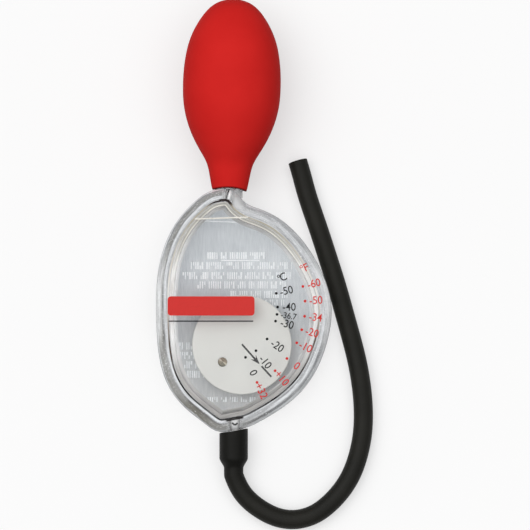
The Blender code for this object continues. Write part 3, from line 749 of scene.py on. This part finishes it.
def second_differences(lengths, knots, closed):
    count = len(lengths) if closed else len(knots)
    matrix = np.zeros((count, count))
    target = np.zeros((count, knots.shape[1]))
    for i in range(count):
        if not closed and i in (0, count - 1):
            matrix[i, i] = 1.0
            continue
        before, after = lengths[i - 1], lengths[i]
        previous = knots[i - 1] if i else knots[-2]
        matrix[i, i - 1] += before
        matrix[i, i] += 2.0 * (before + after)
        matrix[i, (i + 1) % count] += after
        slope_change = (knots[i + 1] - knots[i]) / after - (knots[i] - previous) / before
        target[i] = 6.0 * slope_change
    bends = np.linalg.solve(matrix, target)
    return np.vstack([bends, bends[:1]]) if closed else bends


def smooth_curve(points, count, closed, steps=32):
    """Evenly spaced points along the cubic spline through the given points."""
    knots = np.array(points, dtype=float)
    if closed:
        knots = np.vstack([knots, knots[:1]])
    lengths = np.sqrt(np.linalg.norm(np.diff(knots, axis=0), axis=1))
    bends = second_differences(lengths, knots, closed)
    fine = []
    for i, length in enumerate(lengths):
        for part in np.linspace(0.0, 1.0, steps, endpoint=False):
            rest = 1.0 - part
            curl = (rest ** 3 - rest) * bends[i] + (part ** 3 - part) * bends[i + 1]
            fine.append(rest * knots[i] + part * knots[i + 1] + curl * length ** 2 / 6.0)
    fine = np.array(fine + [knots[-1]])
    along = np.concatenate([[0.0], np.cumsum(np.linalg.norm(np.diff(fine, axis=0), axis=1))])
    places = np.linspace(0.0, along[-1], count, endpoint=not closed)
    return np.stack([np.interp(places, along, fine[:, axis]) for axis in range(fine.shape[1])], axis=1)


def crossing(point, direction, other, other_direction):
    matrix = np.array([direction, -other_direction]).T
    if abs(np.linalg.det(matrix)) < PARALLEL_SHARE:
        return (point + other) / 2.0
    return point + direction * np.linalg.solve(matrix, other - point)[0]


def inset(ring, distance):
    """A counter-clockwise ring moved inward, with each run that folds over drawn to one corner."""
    if distance == 0:
        return ring.copy()
    along = unit(np.roll(ring, -1, axis=0) - np.roll(ring, 1, axis=0))
    moved = ring + distance * np.stack([-along[:, 1], along[:, 0]], axis=1)
    room = np.min(np.linalg.norm(moved[:, None] - ring[None], axis=2), axis=1)
    kept = np.flatnonzero(room > distance * FOLD_SHARE)
    result = moved.copy()
    for first, last in zip(kept, np.roll(kept, -1)):
        run = np.arange(first + 1, last + (len(ring) if last <= first else 0)) % len(ring)
        if len(run):
            result[run] = crossing(moved[first], along[first], moved[last], along[last])
    return result


RING = smooth_curve([(x * CASE_WIDTH, y * CASE_HEIGHT) for x, y in CASE_OUTLINE_SHARES],
                    OUTLINE_SIDES * OUTLINE_FINENESS, closed=True)
CHAMBER = inset(RING, RIM_WIDTH)


def level(width, height):
    """The case's outline moved inward by a width, at one height."""
    return at_height(inset(RING, width)[::OUTLINE_FINENESS], height)


def quarter_arc(start, width, height):
    steps = []
    for i in range(ARC_STEPS + 1):
        angle = math.radians(90.0) * i / ARC_STEPS
        steps.append((width * (1.0 - math.cos(angle)), start + height * math.sin(angle)))
    return steps


# Meshes

def shade(mesh, sharp_deg=SHARP_DEG):
    mesh.shade_smooth()
    mesh.set_sharp_from_angle(angle=math.radians(sharp_deg))


def finish_mesh(name, mesh_data, materials=(), sharp_deg=SHARP_DEG):
    bmesh.ops.remove_doubles(mesh_data, verts=mesh_data.verts, dist=WELD)
    bmesh.ops.recalc_face_normals(mesh_data, faces=mesh_data.faces)
    mesh = bpy.data.meshes.new(name)
    mesh_data.to_mesh(mesh)
    mesh_data.free()
    shade(mesh, sharp_deg)
    item = bpy.data.objects.new(name, mesh)
    bpy.context.scene.collection.objects.link(item)
    for material in materials:
        mesh.materials.append(material)
    return item


def skin(mesh_data, rings, closed=False):
    verts = [[mesh_data.verts.new(point) for point in ring] for ring in rings]
    pairs = list(zip(verts, verts[1:]))
    if closed:
        pairs.append((verts[-1], verts[0]))
    for low, high in pairs:
        for i in range(len(low)):
            j = (i + 1) % len(low)
            mesh_data.faces.new((low[i], low[j], high[j], high[i]))
    return verts


def loft(name, rings, materials=(), sharp_deg=SHARP_DEG):
    mesh_data = bmesh.new()
    verts = skin(mesh_data, rings)
    mesh_data.faces.new(verts[0])
    mesh_data.faces.new(verts[-1])
    return finish_mesh(name, mesh_data, materials, sharp_deg)


def turn(name, profile, materials=(), sides=64, closed=False, sharp_deg=SHARP_DEG):
    """A round piece about the y axis, from rows of radius and height."""
    angles = np.linspace(0.0, 2.0 * math.pi, sides, endpoint=False)
    circle = np.column_stack([np.cos(angles), np.zeros(sides), np.sin(angles)])
    mesh_data = bmesh.new()
    skin(mesh_data, [radius * circle + (0.0, height, 0.0) for radius, height in profile], closed)
    return finish_mesh(name, mesh_data, materials, sharp_deg)


def rod(name, radius, low, high, materials=(), sides=64):
    return turn(name, [(0.0, low), (radius, low), (radius, high), (0.0, high)], materials, sides)


def pipe(name, radius, low, high, x):
    """A rod that runs up the case, at a place across it."""
    item = rod(name, radius, low, high)
    item.data.transform(Matrix.Translation((x, 0.0, 0.0)))
    return item


def stand_up(item, x, y):
    """Turns a mesh that runs along y so that it runs along z, at a place in the plane."""
    item.data.transform(Matrix.Translation((x, y, 0.0)) @ Matrix.Rotation(math.radians(90.0), 4, "X"))
    return item


def cut_with(target, operation, *operands):
    """Unions or cuts, applied to the target, with the operands deleted."""
    for operand in operands:
        modifier = target.modifiers.new(operand.name, "BOOLEAN")
        modifier.operation = operation
        modifier.solver = "EXACT"
        modifier.object = operand
        weld = target.modifiers.new("weld", "WELD")
        weld.merge_threshold = WELD
        mesh = evaluated_mesh(target)
        target.modifiers.clear()
        target.data = mesh
        bpy.data.objects.remove(operand)


def evaluated_mesh(item):
    graph = bpy.context.evaluated_depsgraph_get()
    return bpy.data.meshes.new_from_object(item.evaluated_get(graph), depsgraph=graph)


def dress(piece, body, slot, *nodes):
    """Puts a piece drawn in the case's frame where it belongs, on its body."""
    piece.data.transform(CASE)
    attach(piece, body)
    if nodes:
        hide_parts(*nodes)


# Shells

def edge_height(ring, place, top):
    middle = np.mean(ring[:, 1])
    side = ring[ring[:, 1] > middle] if top else ring[ring[:, 1] < middle]
    return side[np.argmin(np.abs(side[:, 0] - place)), 1]


def seat_under(ring, place, reach):
    near = ring[(np.abs(ring[:, 0] - place) < reach) & (ring[:, 1] < np.mean(ring[:, 1]))]
    left, right = near[np.argmin(near[:, 0])], near[np.argmax(near[:, 0])]
    slope = (right[1] - left[1]) / (right[0] - left[0])
    return np.min(near[:, 1] - slope * (near[:, 0] - place)), slope


MOUTH_RADIUS = BULB_PROFILE_SHARES[0][0] * BULB_RADIUS
LIP_Y = np.max(RING[np.abs(RING[:, 0] - NECK_X) < MOUTH_RADIUS][:, 1]) + FIT
SEAT_Y, SEAT_SLOPE = seat_under(RING, SPIGOT_X, CUFF_RADIUS)
SEAT_Y -= FIT
WINDOW_DEPTH = CASE_THICKNESS / 2.0 - WINDOW_WALL

# Kinds of wall of a shell, in the order of its materials
BODY, PANE, LEDGE, CURVE, PARTING = range(5)


def chamber_profile(ledge):
    """Steps inward and upward along the chamber's wall, from the parting plane to the window."""
    rise = WINDOW_DEPTH - CHAMBER_STRAIGHT
    if not ledge:
        steps = quarter_arc(CHAMBER_STRAIGHT, REAR_LEAN, rise)
        return [(0.0, -OVERRUN)] + steps + [(REAR_LEAN + SEAM_EDGE, WINDOW_DEPTH)]
    foot = [(0.0, -OVERRUN)] + quarter_arc(CHAMBER_STRAIGHT - LEDGE_ROUND, LEDGE_ROUND, LEDGE_ROUND)
    steps = quarter_arc(CHAMBER_STRAIGHT, FRONT_LEAN - LEDGE_WIDTH, rise)
    foot += [(LEDGE_WIDTH + width, height) for width, height in steps]
    return foot + [(FRONT_LEAN + SEAM_EDGE, WINDOW_DEPTH)]


def mark_rim(mesh):
    """Stores each vertex's nearest place on the outline and its distance from there, for the materials."""
    count = len(mesh.vertices)
    places = np.empty(3 * count, dtype=np.float32)
    mesh.vertices.foreach_get("co", places)
    places = places.reshape(count, 3)
    marks = np.empty((count, 3), dtype=np.float32)
    for start in range(0, count, MARK_BATCH):
        batch = slice(start, start + MARK_BATCH)
        distances = np.linalg.norm(places[batch, None, :2] - RING[None], axis=2)
        marks[batch, :2] = RING[np.argmin(distances, axis=1)]
        marks[batch, 2] = np.min(distances, axis=1)
    mesh.attributes.new("rim", "FLOAT_VECTOR", "POINT").data.foreach_set("vector", marks.ravel())


def in_bore(center):
    """Whether a point lies on the wall of the neck's bore or of the inlet."""
    past_chamber = np.min(np.linalg.norm(RING - (center.x, center.y), axis=1)) < RIM_WIDTH
    place, radius = (NECK_X, NECK_BORE_RADIUS) if center.y > PIVOT.y else (SPIGOT_X, SPIGOT_BORE_RADIUS)
    return past_chamber and math.hypot(center.x - place, center.z) < radius + SEAM_GAP


def wall_kind(polygon):
    """The kind of wall that a face belongs to, where the bores count as the parting."""
    height = abs(polygon.center.z)
    flat = abs(polygon.normal.z) > FLAT_COSINE
    inside = np.min(np.linalg.norm(RING - (polygon.center.x, polygon.center.y), axis=1)) - RIM_WIDTH
    if flat and height > WINDOW_DEPTH - SEAM_EDGE:
        return PANE if inside > 0.0 else BODY
    if flat and height < SEAM_GAP or in_bore(polygon.center):
        return PARTING
    if inside < -SEAM_EDGE / 2.0 or not CHAMBER_STRAIGHT - LEDGE_ROUND < height < WINDOW_DEPTH:
        return BODY
    if flat:
        return LEDGE
    return CURVE if inside < REAR_LEAN + SEAM_EDGE else BODY


def make_shell(name, side, materials):
    """One half of the case: rounded outside, hollow inside, with its halves of the neck and the spigot.

    Its materials are one for each kind of wall, in the order of the kinds.
    """
    upright = CASE_THICKNESS / 2.0 - EDGE_ROUND
    outer = [(0.0, -OVERRUN)] + quarter_arc(upright, EDGE_ROUND, EDGE_ROUND)
    outer += [(EDGE_ROUND + step, CASE_THICKNESS / 2.0) for step in FACE_STEPS]
    shell = loft(name, [level(width, side * height) for width, height in outer])
    neck_root = edge_height(CHAMBER, NECK_X, top=True) + RIM_WIDTH / 2.0
    neck_end = LIP_Y + NECK_REACH
    spigot_root = edge_height(CHAMBER, SPIGOT_X, top=False) - RIM_WIDTH / 2.0
    spigot_end = SEAT_Y - SPIGOT_LENGTH
    neck = pipe("neck", NECK_RADIUS, neck_root, neck_end, NECK_X)
    spigot = pipe("spigot", SPIGOT_RADIUS, spigot_end, spigot_root, SPIGOT_X)
    cut_with(shell, "UNION", neck, spigot)
    margin = 3.0 * SPIGOT_LENGTH
    right, top = CASE_WIDTH + margin, CASE_HEIGHT + margin
    corners = np.array([(-margin, -margin), (right, -margin), (right, top), (-margin, top)])
    heights = (side * SEAM_GAP / 2.0, -side * CASE_THICKNESS)
    far_half = loft("far_half", [at_height(corners, height) for height in heights])
    hollow = chamber_profile(ledge=side > 0)
    chamber = loft("chamber", [level(RIM_WIDTH + width, side * height) for width, height in hollow])
    cut_with(shell, "DIFFERENCE", far_half, chamber)
    boss_ends = sorted((side * BOSS_FACE, side * (WINDOW_DEPTH + WINDOW_WALL / 2.0)))
    cut_with(shell, "UNION", stand_up(rod("boss", BOSS_RADIUS, *boss_ends), *PIVOT[:2]))
    socket_ends = sorted((side * (BOSS_FACE - OVERRUN), side * (BOSS_FACE + SOCKET_DEPTH)))
    socket = stand_up(rod("socket", PIN_RADIUS + FIT, *socket_ends), *PIVOT[:2])
    neck_bore = pipe("neck_bore", NECK_BORE_RADIUS, neck_root - RIM_WIDTH, neck_end + OVERRUN, NECK_X)
    spigot_bore = pipe("spigot_bore", SPIGOT_BORE_RADIUS, spigot_end - OVERRUN, spigot_root + RIM_WIDTH,
                       SPIGOT_X)
    cut_with(shell, "DIFFERENCE", neck_bore, spigot_bore, socket)
    mesh = shell.data
    shade(mesh)
    mesh.materials.clear()
    for material in materials:
        mesh.materials.append(material)
    for polygon in mesh.polygons:
        polygon.material_index = wall_kind(polygon)
    mark_rim(mesh)
    return shell


# Bulb

def make_bulb(material, rings=72):
    """The rubber bulb, hollow, with a mouth that sits on the neck and a lip that waves a little."""
    mirrored = [(-x, y) for x, y in BULB_PROFILE_SHARES[-2::-1]]
    outline = np.array(list(BULB_PROFILE_SHARES) + mirrored) * (BULB_RADIUS, BULB_LENGTH)
    outer = smooth_curve(outline, 2 * rings + 1, closed=False)[:rings + 1]
    outer[-1, 0] = 0.0
    along = unit(np.gradient(outer, axis=0))
    inner = outer + BULB_WALL * np.stack([-along[:, 1], along[:, 0]], axis=1)
    inner[-1, 0] = 0.0
    mouth = NECK_RADIUS + FIT
    collar = NECK_REACH + FIT
    past_collar = (inner[:, 1] > collar + BULB_WALL) & (inner[:, 0] > mouth)
    inner = inner[past_collar | (inner[:, 0] == 0)]
    outer = outer[outer[:, 1] > 2.0 * LIP_ROUND]
    profile = [*inner[::-1], (mouth, collar), (mouth, LIP_ROUND)]
    profile += [*arc((mouth + LIP_ROUND, LIP_ROUND), LIP_ROUND, 180.0, 270.0)]
    profile += [*arc((MOUTH_RADIUS - LIP_ROUND, LIP_ROUND), LIP_ROUND, 270.0, 360.0), *outer]
    bulb = turn("bulb_rubber", profile, [material], sides=128, sharp_deg=SOFT_SHARP_DEG)
    marks = bulb.data.attributes.new("lip", "FLOAT", "POINT").data
    for vertex, mark in zip(bulb.data.vertices, marks):
        mark.value = vertex.co.y
        share = max(0.0, 1.0 - max(0.0, vertex.co.y) / LIP_DROP_REACH)
        drop = LIP_DROPS[0] if vertex.co.x < 0.0 else LIP_DROPS[1]
        vertex.co.y -= drop * share ** 2 * (vertex.co.x / MOUTH_RADIUS) ** 2
    lean = Matrix.Rotation(math.radians(BULB_LEAN_DEG), 4, "Z")
    bulb.data.transform(Matrix.Translation((NECK_X, LIP_Y, 0.0)) @ lean)
    dress(bulb, "case", "bulb", "squeeze_bulb")


# Hose

def frames_along(path):
    """A steady pair of cross directions at each point of a path."""
    side = np.array((1.0, 0.0, 0.0))
    pairs = []
    for direction in unit(np.gradient(path, axis=0)):
        side = unit(side - direction * np.dot(side, direction))
        pairs.append((side, np.cross(direction, side)))
    return pairs


def make_hose(material, sides=48):
    """The cuff, its taper and the long tube as one skin, open at the far end."""
    seat = CASE @ Vector((SPIGOT_X, SEAT_Y, 0.0))
    down = (CASE.to_3x3() @ Vector((0.0, -1.0, 0.0))).normalized()
    cuff_end = CUFF_LENGTH + CUFF_TAPER
    straight = [*np.linspace(0.0, cuff_end, CUFF_RINGS)]
    straight += [cuff_end + HOSE_LEAD * share for share in (0.25, 0.5, 0.75)]
    route = [tuple(seat + down * (cuff_end + HOSE_LEAD)), *HOSE_ROUTE]
    path = [tuple(seat + down * distance) for distance in straight]
    path = np.array(path + [*smooth_curve(route, HOSE_RINGS, closed=False)])
    pairs = frames_along(path)
    lengths = np.concatenate([[0.0], np.cumsum(np.linalg.norm(np.diff(path, axis=0), axis=1))])
    angles = np.linspace(0.0, 2.0 * math.pi, sides, endpoint=False)

    def ring(index, radius, shift=0.0, slope=0.0):
        side, other = pairs[index]
        across = radius * (np.outer(np.cos(angles), side) + np.outer(np.sin(angles), other))
        lean = slope * (radius * np.cos(angles))
        return path[index] + across + np.outer(shift - lean, np.cross(side, other))

    def radius_at(distance):
        share = min(1.0, max(0.0, (distance - CUFF_LENGTH) / CUFF_TAPER))
        ease = share * share * (3.0 - 2.0 * share)
        return CUFF_RADIUS + (HOSE_RADIUS - CUFF_RADIUS) * ease

    grip = SPIGOT_RADIUS + FIT
    mouth = [(grip, CUFF_MOUTH_ROUND), (grip + CUFF_MOUTH_ROUND, 0.0)]
    mouth += [(CUFF_RADIUS - width, shift) for width, shift in CUFF_EDGE_STEPS]
    rings = [ring(0, grip, SPIGOT_LENGTH)] + [ring(0, *step, SEAT_SLOPE) for step in mouth]
    end = lengths[-1] - 2.0 * HOSE_EDGE_ROUND
    for index, distance in enumerate(lengths):
        slope = SEAT_SLOPE * max(0.0, 1.0 - distance / (2.0 * CUFF_RADIUS))
        if CUFF_EDGE_REACH < distance < end:
            rings.append(ring(index, radius_at(distance), 0.0, slope))
    last = len(path) - 1
    edge = [*arc((HOSE_RADIUS - HOSE_EDGE_ROUND, -HOSE_EDGE_ROUND), HOSE_EDGE_ROUND, 0.0, 90.0, 5)]
    edge += [*arc((HOSE_BORE_RADIUS + HOSE_EDGE_ROUND, -HOSE_EDGE_ROUND), HOSE_EDGE_ROUND, 90.0, 180.0, 5)]
    rings += [ring(last, *step) for step in edge]
    inside = [i for i, distance in enumerate(lengths) if lengths[-1] - HOSE_BORE_DEPTH < distance < end]
    rings += [ring(index, HOSE_BORE_RADIUS) for index in reversed(inside)]
    hose = loft("hose_rubber", rings, [material], SOFT_SHARP_DEG)
    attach(hose, "case")
    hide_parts("hose", "hose_cuff")


# Float

def float_centre():
    angle = math.radians(FLOAT_REST_DEG)
    return PIVOT + FLOAT_ARM * Vector((math.cos(angle), math.sin(angle), 0.0))


def rounded_disc(radius, half, edge):
    """Half profile of a disc with round edges, from the middle of its lower face to that of its upper."""
    lower = arc((radius - edge, edge - half), edge, 270.0, 360.0)
    upper = arc((radius - edge, half - edge), edge, 0.0, 90.0)
    return [(0.0, -half), (0.5 * radius, -half), *lower, *upper, (0.5 * radius, half), (0.0, half)]


def make_float(ivory, metal, plastic):
    """The float with its two ballast pins, and the pin that it turns on."""
    half = FLOAT_THICKNESS / 2.0
    centre = float_centre()
    disc = turn("float_plate", rounded_disc(FLOAT_RADIUS, half, FLOAT_EDGE_ROUND), [ivory], sides=192)
    stand_up(disc, *centre[:2])
    reach = half + OVERRUN
    cut_with(disc, "DIFFERENCE", stand_up(rod("pivot_hole", PIN_RADIUS + FIT, -reach, reach), *PIVOT[:2]))
    for key, (across, up) in BALLAST_SHARES.items():
        place = (centre.x + across * FLOAT_RADIUS, centre.y + up * FLOAT_RADIUS)
        cut_with(disc, "DIFFERENCE", stand_up(rod("hole", BALLAST_RADIUS + FIT / 3.0, -reach, reach), *place))
        pin_half = half + BALLAST_PROUD
        floor = pin_half - DIMPLE_DEPTH
        profile = [(0.0, -floor), (DIMPLE_RADIUS, -floor)]
        profile += rounded_disc(BALLAST_RADIUS, pin_half, BALLAST_EDGE_ROUND)[1:-1]
        profile += [(DIMPLE_RADIUS, floor), (0.0, floor)]
        pin = stand_up(turn(f"ballast_{key}", profile, [metal]), *place)
        dress(pin, "float", "ballast", f"ballast_pin_{key}")
    shade(disc.data)
    dress(disc, "float", "float", "float_disc")
    pin_reach = BOSS_FACE + SOCKET_DEPTH - FIT
    pin = turn("pivot_rod", rounded_disc(PIN_RADIUS, pin_reach, PIN_EDGE_ROUND), [plastic], sides=48)
    dress(stand_up(pin, *PIVOT[:2]), "case", "pin_plastic", "pivot_pin")


# Printing on the front window

class Surface:
    """Height of a shell's face, to lay printing or bars on."""

    def __init__(self, item):
        points = [vertex.co.copy() for vertex in item.data.vertices]
        faces = [tuple(polygon.vertices) for polygon in item.data.polygons]
        self.tree = BVHTree.FromPolygons(points, faces)

    def height(self, x, y):
        hit = self.tree.ray_cast(Vector((x, y, CASE_THICKNESS)), Vector((0.0, 0.0, -1.0)))[0]
        return hit.z if hit else CASE_THICKNESS / 2.0


def lay_print(item, surface):
    """Drops a thin flat piece onto the window, keeping its thickness."""
    for vertex in item.data.vertices:
        vertex.co.z += surface.height(vertex.co.x, vertex.co.y) + PRINT_LIFT
    dress(item, "case", "clear_front")


def make_text(name, text, height, place, turn_deg, material):
    data = bpy.data.curves.new(name, "FONT")
    data.body = text
    data.size = height / CAPITAL_SHARE
    data.align_x = "CENTER"
    data.align_y = "CENTER"
    data.extrude = PRINT_THICKNESS / 2.0
    data.resolution_u = 6
    data.offset = LETTER_BOLD
    guide = bpy.data.objects.new(name + "_guide", data)
    bpy.context.scene.collection.objects.link(guide)
    bpy.context.view_layer.update()
    mesh = evaluated_mesh(guide)
    bpy.data.objects.remove(guide)
    scale = Matrix.Diagonal((LETTER_WIDTH_SHARE, 1.0, 1.0, 1.0))
    spin = Matrix.Rotation(math.radians(turn_deg), 4, "Z")
    mesh.transform(Matrix.Translation((*place, PRINT_THICKNESS / 2.0)) @ spin @ scale)
    mesh_data = bmesh.new()
    mesh_data.from_mesh(mesh)
    bmesh.ops.remove_doubles(mesh_data, verts=mesh_data.verts, dist=0.2 * WELD)
    bmesh.ops.triangulate(mesh_data, faces=mesh_data.faces)
    bpy.data.meshes.remove(mesh)
    return finish_mesh(name, mesh_data, [material])


def polar(angle_deg, distance):
    angle = math.radians(angle_deg)
    return (PIVOT.x + distance * math.cos(angle), PIVOT.y + distance * math.sin(angle))


def make_scale(name, labels, sign, dot_distance, material, surface):
    """One scale: its numbers, a dot for each, and its sign with a small ring for degrees."""
    for index, (text, angle, distance) in enumerate(labels):
        height = SMALL_LABEL_HEIGHT if "." in text else LABEL_HEIGHT
        place = polar(angle, distance * MM)
        lay_print(make_text(f"{name}_label_{index}", text, height, place, angle, material), surface)
        dot = rod(f"{name}_dot_{index}", DOT_RADIUS, 0.0, PRINT_THICKNESS, [material], sides=24)
        lay_print(stand_up(dot, *polar(angle, dot_distance)), surface)
    text, angle, distance = sign
    place = polar(angle, distance * MM)
    lay_print(make_text(f"{name}_sign", text, LABEL_HEIGHT, place, angle, material), surface)
    offset = Matrix.Rotation(math.radians(angle), 2) @ Vector(DEGREE_OFFSET)
    inner = DEGREE_RADIUS - DEGREE_STROKE
    profile = [(inner, 0.0), (DEGREE_RADIUS, 0.0), (DEGREE_RADIUS, PRINT_THICKNESS), (inner, PRINT_THICKNESS)]
    ring = turn(f"{name}_degree", profile, [material], sides=32, closed=True)
    lay_print(stand_up(ring, place[0] + offset.x, place[1] + offset.y), surface)


# Fill line, bars, band, rule and arrow

def ridge(name, ends, width, height, base, material, steps=8):
    """A straight line with a round back and round ends, raised from a plane."""
    start, end = ends
    ahead = math.degrees(math.atan2(end[1] - start[1], end[0] - start[0]))
    rings = []
    for share in np.linspace(0.0, 1.0, steps, endpoint=False):
        angle = math.radians(90.0) * share
        reach = width / 2.0 * math.cos(angle)
        ring = [*arc(end, reach, ahead - 90.0, ahead + 90.0, 2 * EDGE_STEPS)]
        ring += [*arc(start, reach, ahead + 90.0, ahead + 270.0, 2 * EDGE_STEPS)]
        rings.append(at_height(ring, base + height * math.sin(angle)))
    return loft(name, rings, [material])


def make_bars(bowl, material):
    """Rows of short raised bars on the inside of the back, of mixed heights."""
    chance = random.Random(BAR_SEED)
    mesh_data = bmesh.new()
    for start, end, middle, height in BAR_ROWS:
        x = start
        while x < end:
            for _ in range(chance.randint(*BAR_RUN)):
                share = chance.choice(BAR_HEIGHT_SHARES)
                shift = chance.choice((-0.5, 0.5)) * (1.0 - share) * height
                wide = BAR_WIDTH * chance.choice(BAR_WIDTH_SHARES)
                if x < end and np.min(np.linalg.norm(RING - (x, middle), axis=1)) > BAR_MARGIN:
                    add_bar(mesh_data, (x, middle + shift), (wide, share * height), bowl)
                x += BAR_PITCH
            x += BAR_PITCH
    dress(finish_mesh("raised_bars", mesh_data, [material]), "case", "clear_rear")


def add_bar(mesh_data, place, size, bowl):
    """A low block with drawn-in sides, whose corners follow the bowl that it stands on."""
    rows = []
    for rise, taper in ((0.0, 0.0), (BAR_RISE, BAR_TAPER)):
        half = (size[0] / 2.0 - taper, size[1] / 2.0 - taper)
        corners = [(place[0] + x * half[0], place[1] + y * half[1]) for x, y in SQUARE]
        rows.append([(x, y, bowl.height(x, y) + rise) for x, y in corners])
    low, high = skin(mesh_data, rows)
    mesh_data.faces.new(low[::-1])
    mesh_data.faces.new(high)


def flat_print(name, outline, material, base=0.0):
    return loft(name, [at_height(outline, height) for height in (base, base + PRINT_THICKNESS)], [material])


def rounded_box(low_x, low_y, high_x, high_y, radius):
    left, right, foot, top = low_x + radius, high_x - radius, low_y + radius, high_y - radius
    centres = ((right, top), (left, top), (left, foot), (right, foot))
    corners = [arc(centre, radius, 90.0 * i, 90.0 * i + 90.0, 9) for i, centre in enumerate(centres)]
    return np.vstack(corners)


def stroke(start, end, width):
    start, end = np.array(start), np.array(end)
    along = unit(end - start)
    across = np.array((-along[1], along[0])) * width / 2.0
    return [start - across, end - across, end + across, start + across]


def make_arrow(material):
    """The float's arrow: two lines and a swept head, on its front face."""
    pivot = np.array(PIVOT[:2])
    tip = np.array(ARROW_TIP)
    along = unit(tip - np.array(ARROW_LINES[0][0]))
    across = np.array((-along[1], along[0])) * ARROW_HEAD_WIDTH / 2.0
    base = tip - ARROW_HEAD_LENGTH * along
    notch = tip - ARROW_NOTCH_SHARE * ARROW_HEAD_LENGTH * along
    outlines = [stroke(*line, ARROW_LINE_WIDTH) for line in ARROW_LINES]
    outlines.append([tip, base + across, notch, base - across])
    for index, outline in enumerate(outlines):
        face = FLOAT_THICKNESS / 2.0 + PRINT_LIFT
        mark = flat_print(f"arrow_{index}", pivot + np.array(outline), material, face)
        dress(mark, "float", "float")


# Build

bpy.context.scene.view_settings.view_transform = "Standard"
make_camera()
make_stage()
make_world()

make_hose(black_rubber())
make_bulb(red_rubber())
clear = clear_plastic()
front_rim = rim_plastic("front_rim", True)
rear_rim = rim_plastic("rear_rim", False)
frosted = frosted_back()
front = make_shell("front_case", 1.0, [front_rim, clear, ledge_plastic(), curve_plastic(), clear])
rear = make_shell("rear_case", -1.0, [rear_rim, frosted, frosted, frosted, clear])
surface = Surface(front)
bowl = Surface(rear)
dress(front, "case", "clear_front", "front_shell")
dress(rear, "case", "clear_rear", "rear_shell")
pin_plastic = even_plastic("pin_plastic", 600.0, (0.72, 0.73, 0.7), (0.8, 0.81, 0.78), 0.25)
make_float(ivory_plastic(), turned_metal(), pin_plastic)
red_ink = print_ink("red_ink", (0.68, 0.035, 0.03))
black_ink = print_ink("black_ink", (0.008, 0.008, 0.009))
make_scale("fahrenheit", FAHRENHEIT_LABELS, FAHRENHEIT_SIGN, FAHRENHEIT_DOTS, red_ink, surface)
make_scale("celsius", CELSIUS_LABELS, CELSIUS_SIGN, CELSIUS_DOTS, black_ink, surface)
cream = even_plastic("cream_plastic", 900.0, (0.8, 0.78, 0.7), (0.9, 0.88, 0.82), 0.4)
white = even_plastic("white_plastic", 900.0, (0.84, 0.87, 0.89), (0.95, 0.97, 0.98), 0.4)
make_bars(bowl, white)
fill = ridge("fill_line", FILL_LINE, FILL_LINE_WIDTH, FILL_LINE_HEIGHT, CASE_THICKNESS / 2.0, cream)
dress(fill, "case", "clear_front")
# The first of these lines is a painted reflection of the fill line, on the back plate
for name, ends in (("fill_line_reflection", FILL_LINE_REFLECTION), ("underline", UNDERLINE)):
    line = ridge(name, ends, BAR_WIDTH, BAR_RISE, -WINDOW_DEPTH, white)
    dress(line, "case", "clear_rear")
lay_print(flat_print("red_band", rounded_box(*BAND, BAND_ROUND), red_ink), surface)
lay_print(flat_print("rule", stroke(*RULE, RULE_WIDTH), black_ink), surface)
make_arrow(black_ink)

bpy.context.view_layer.update()
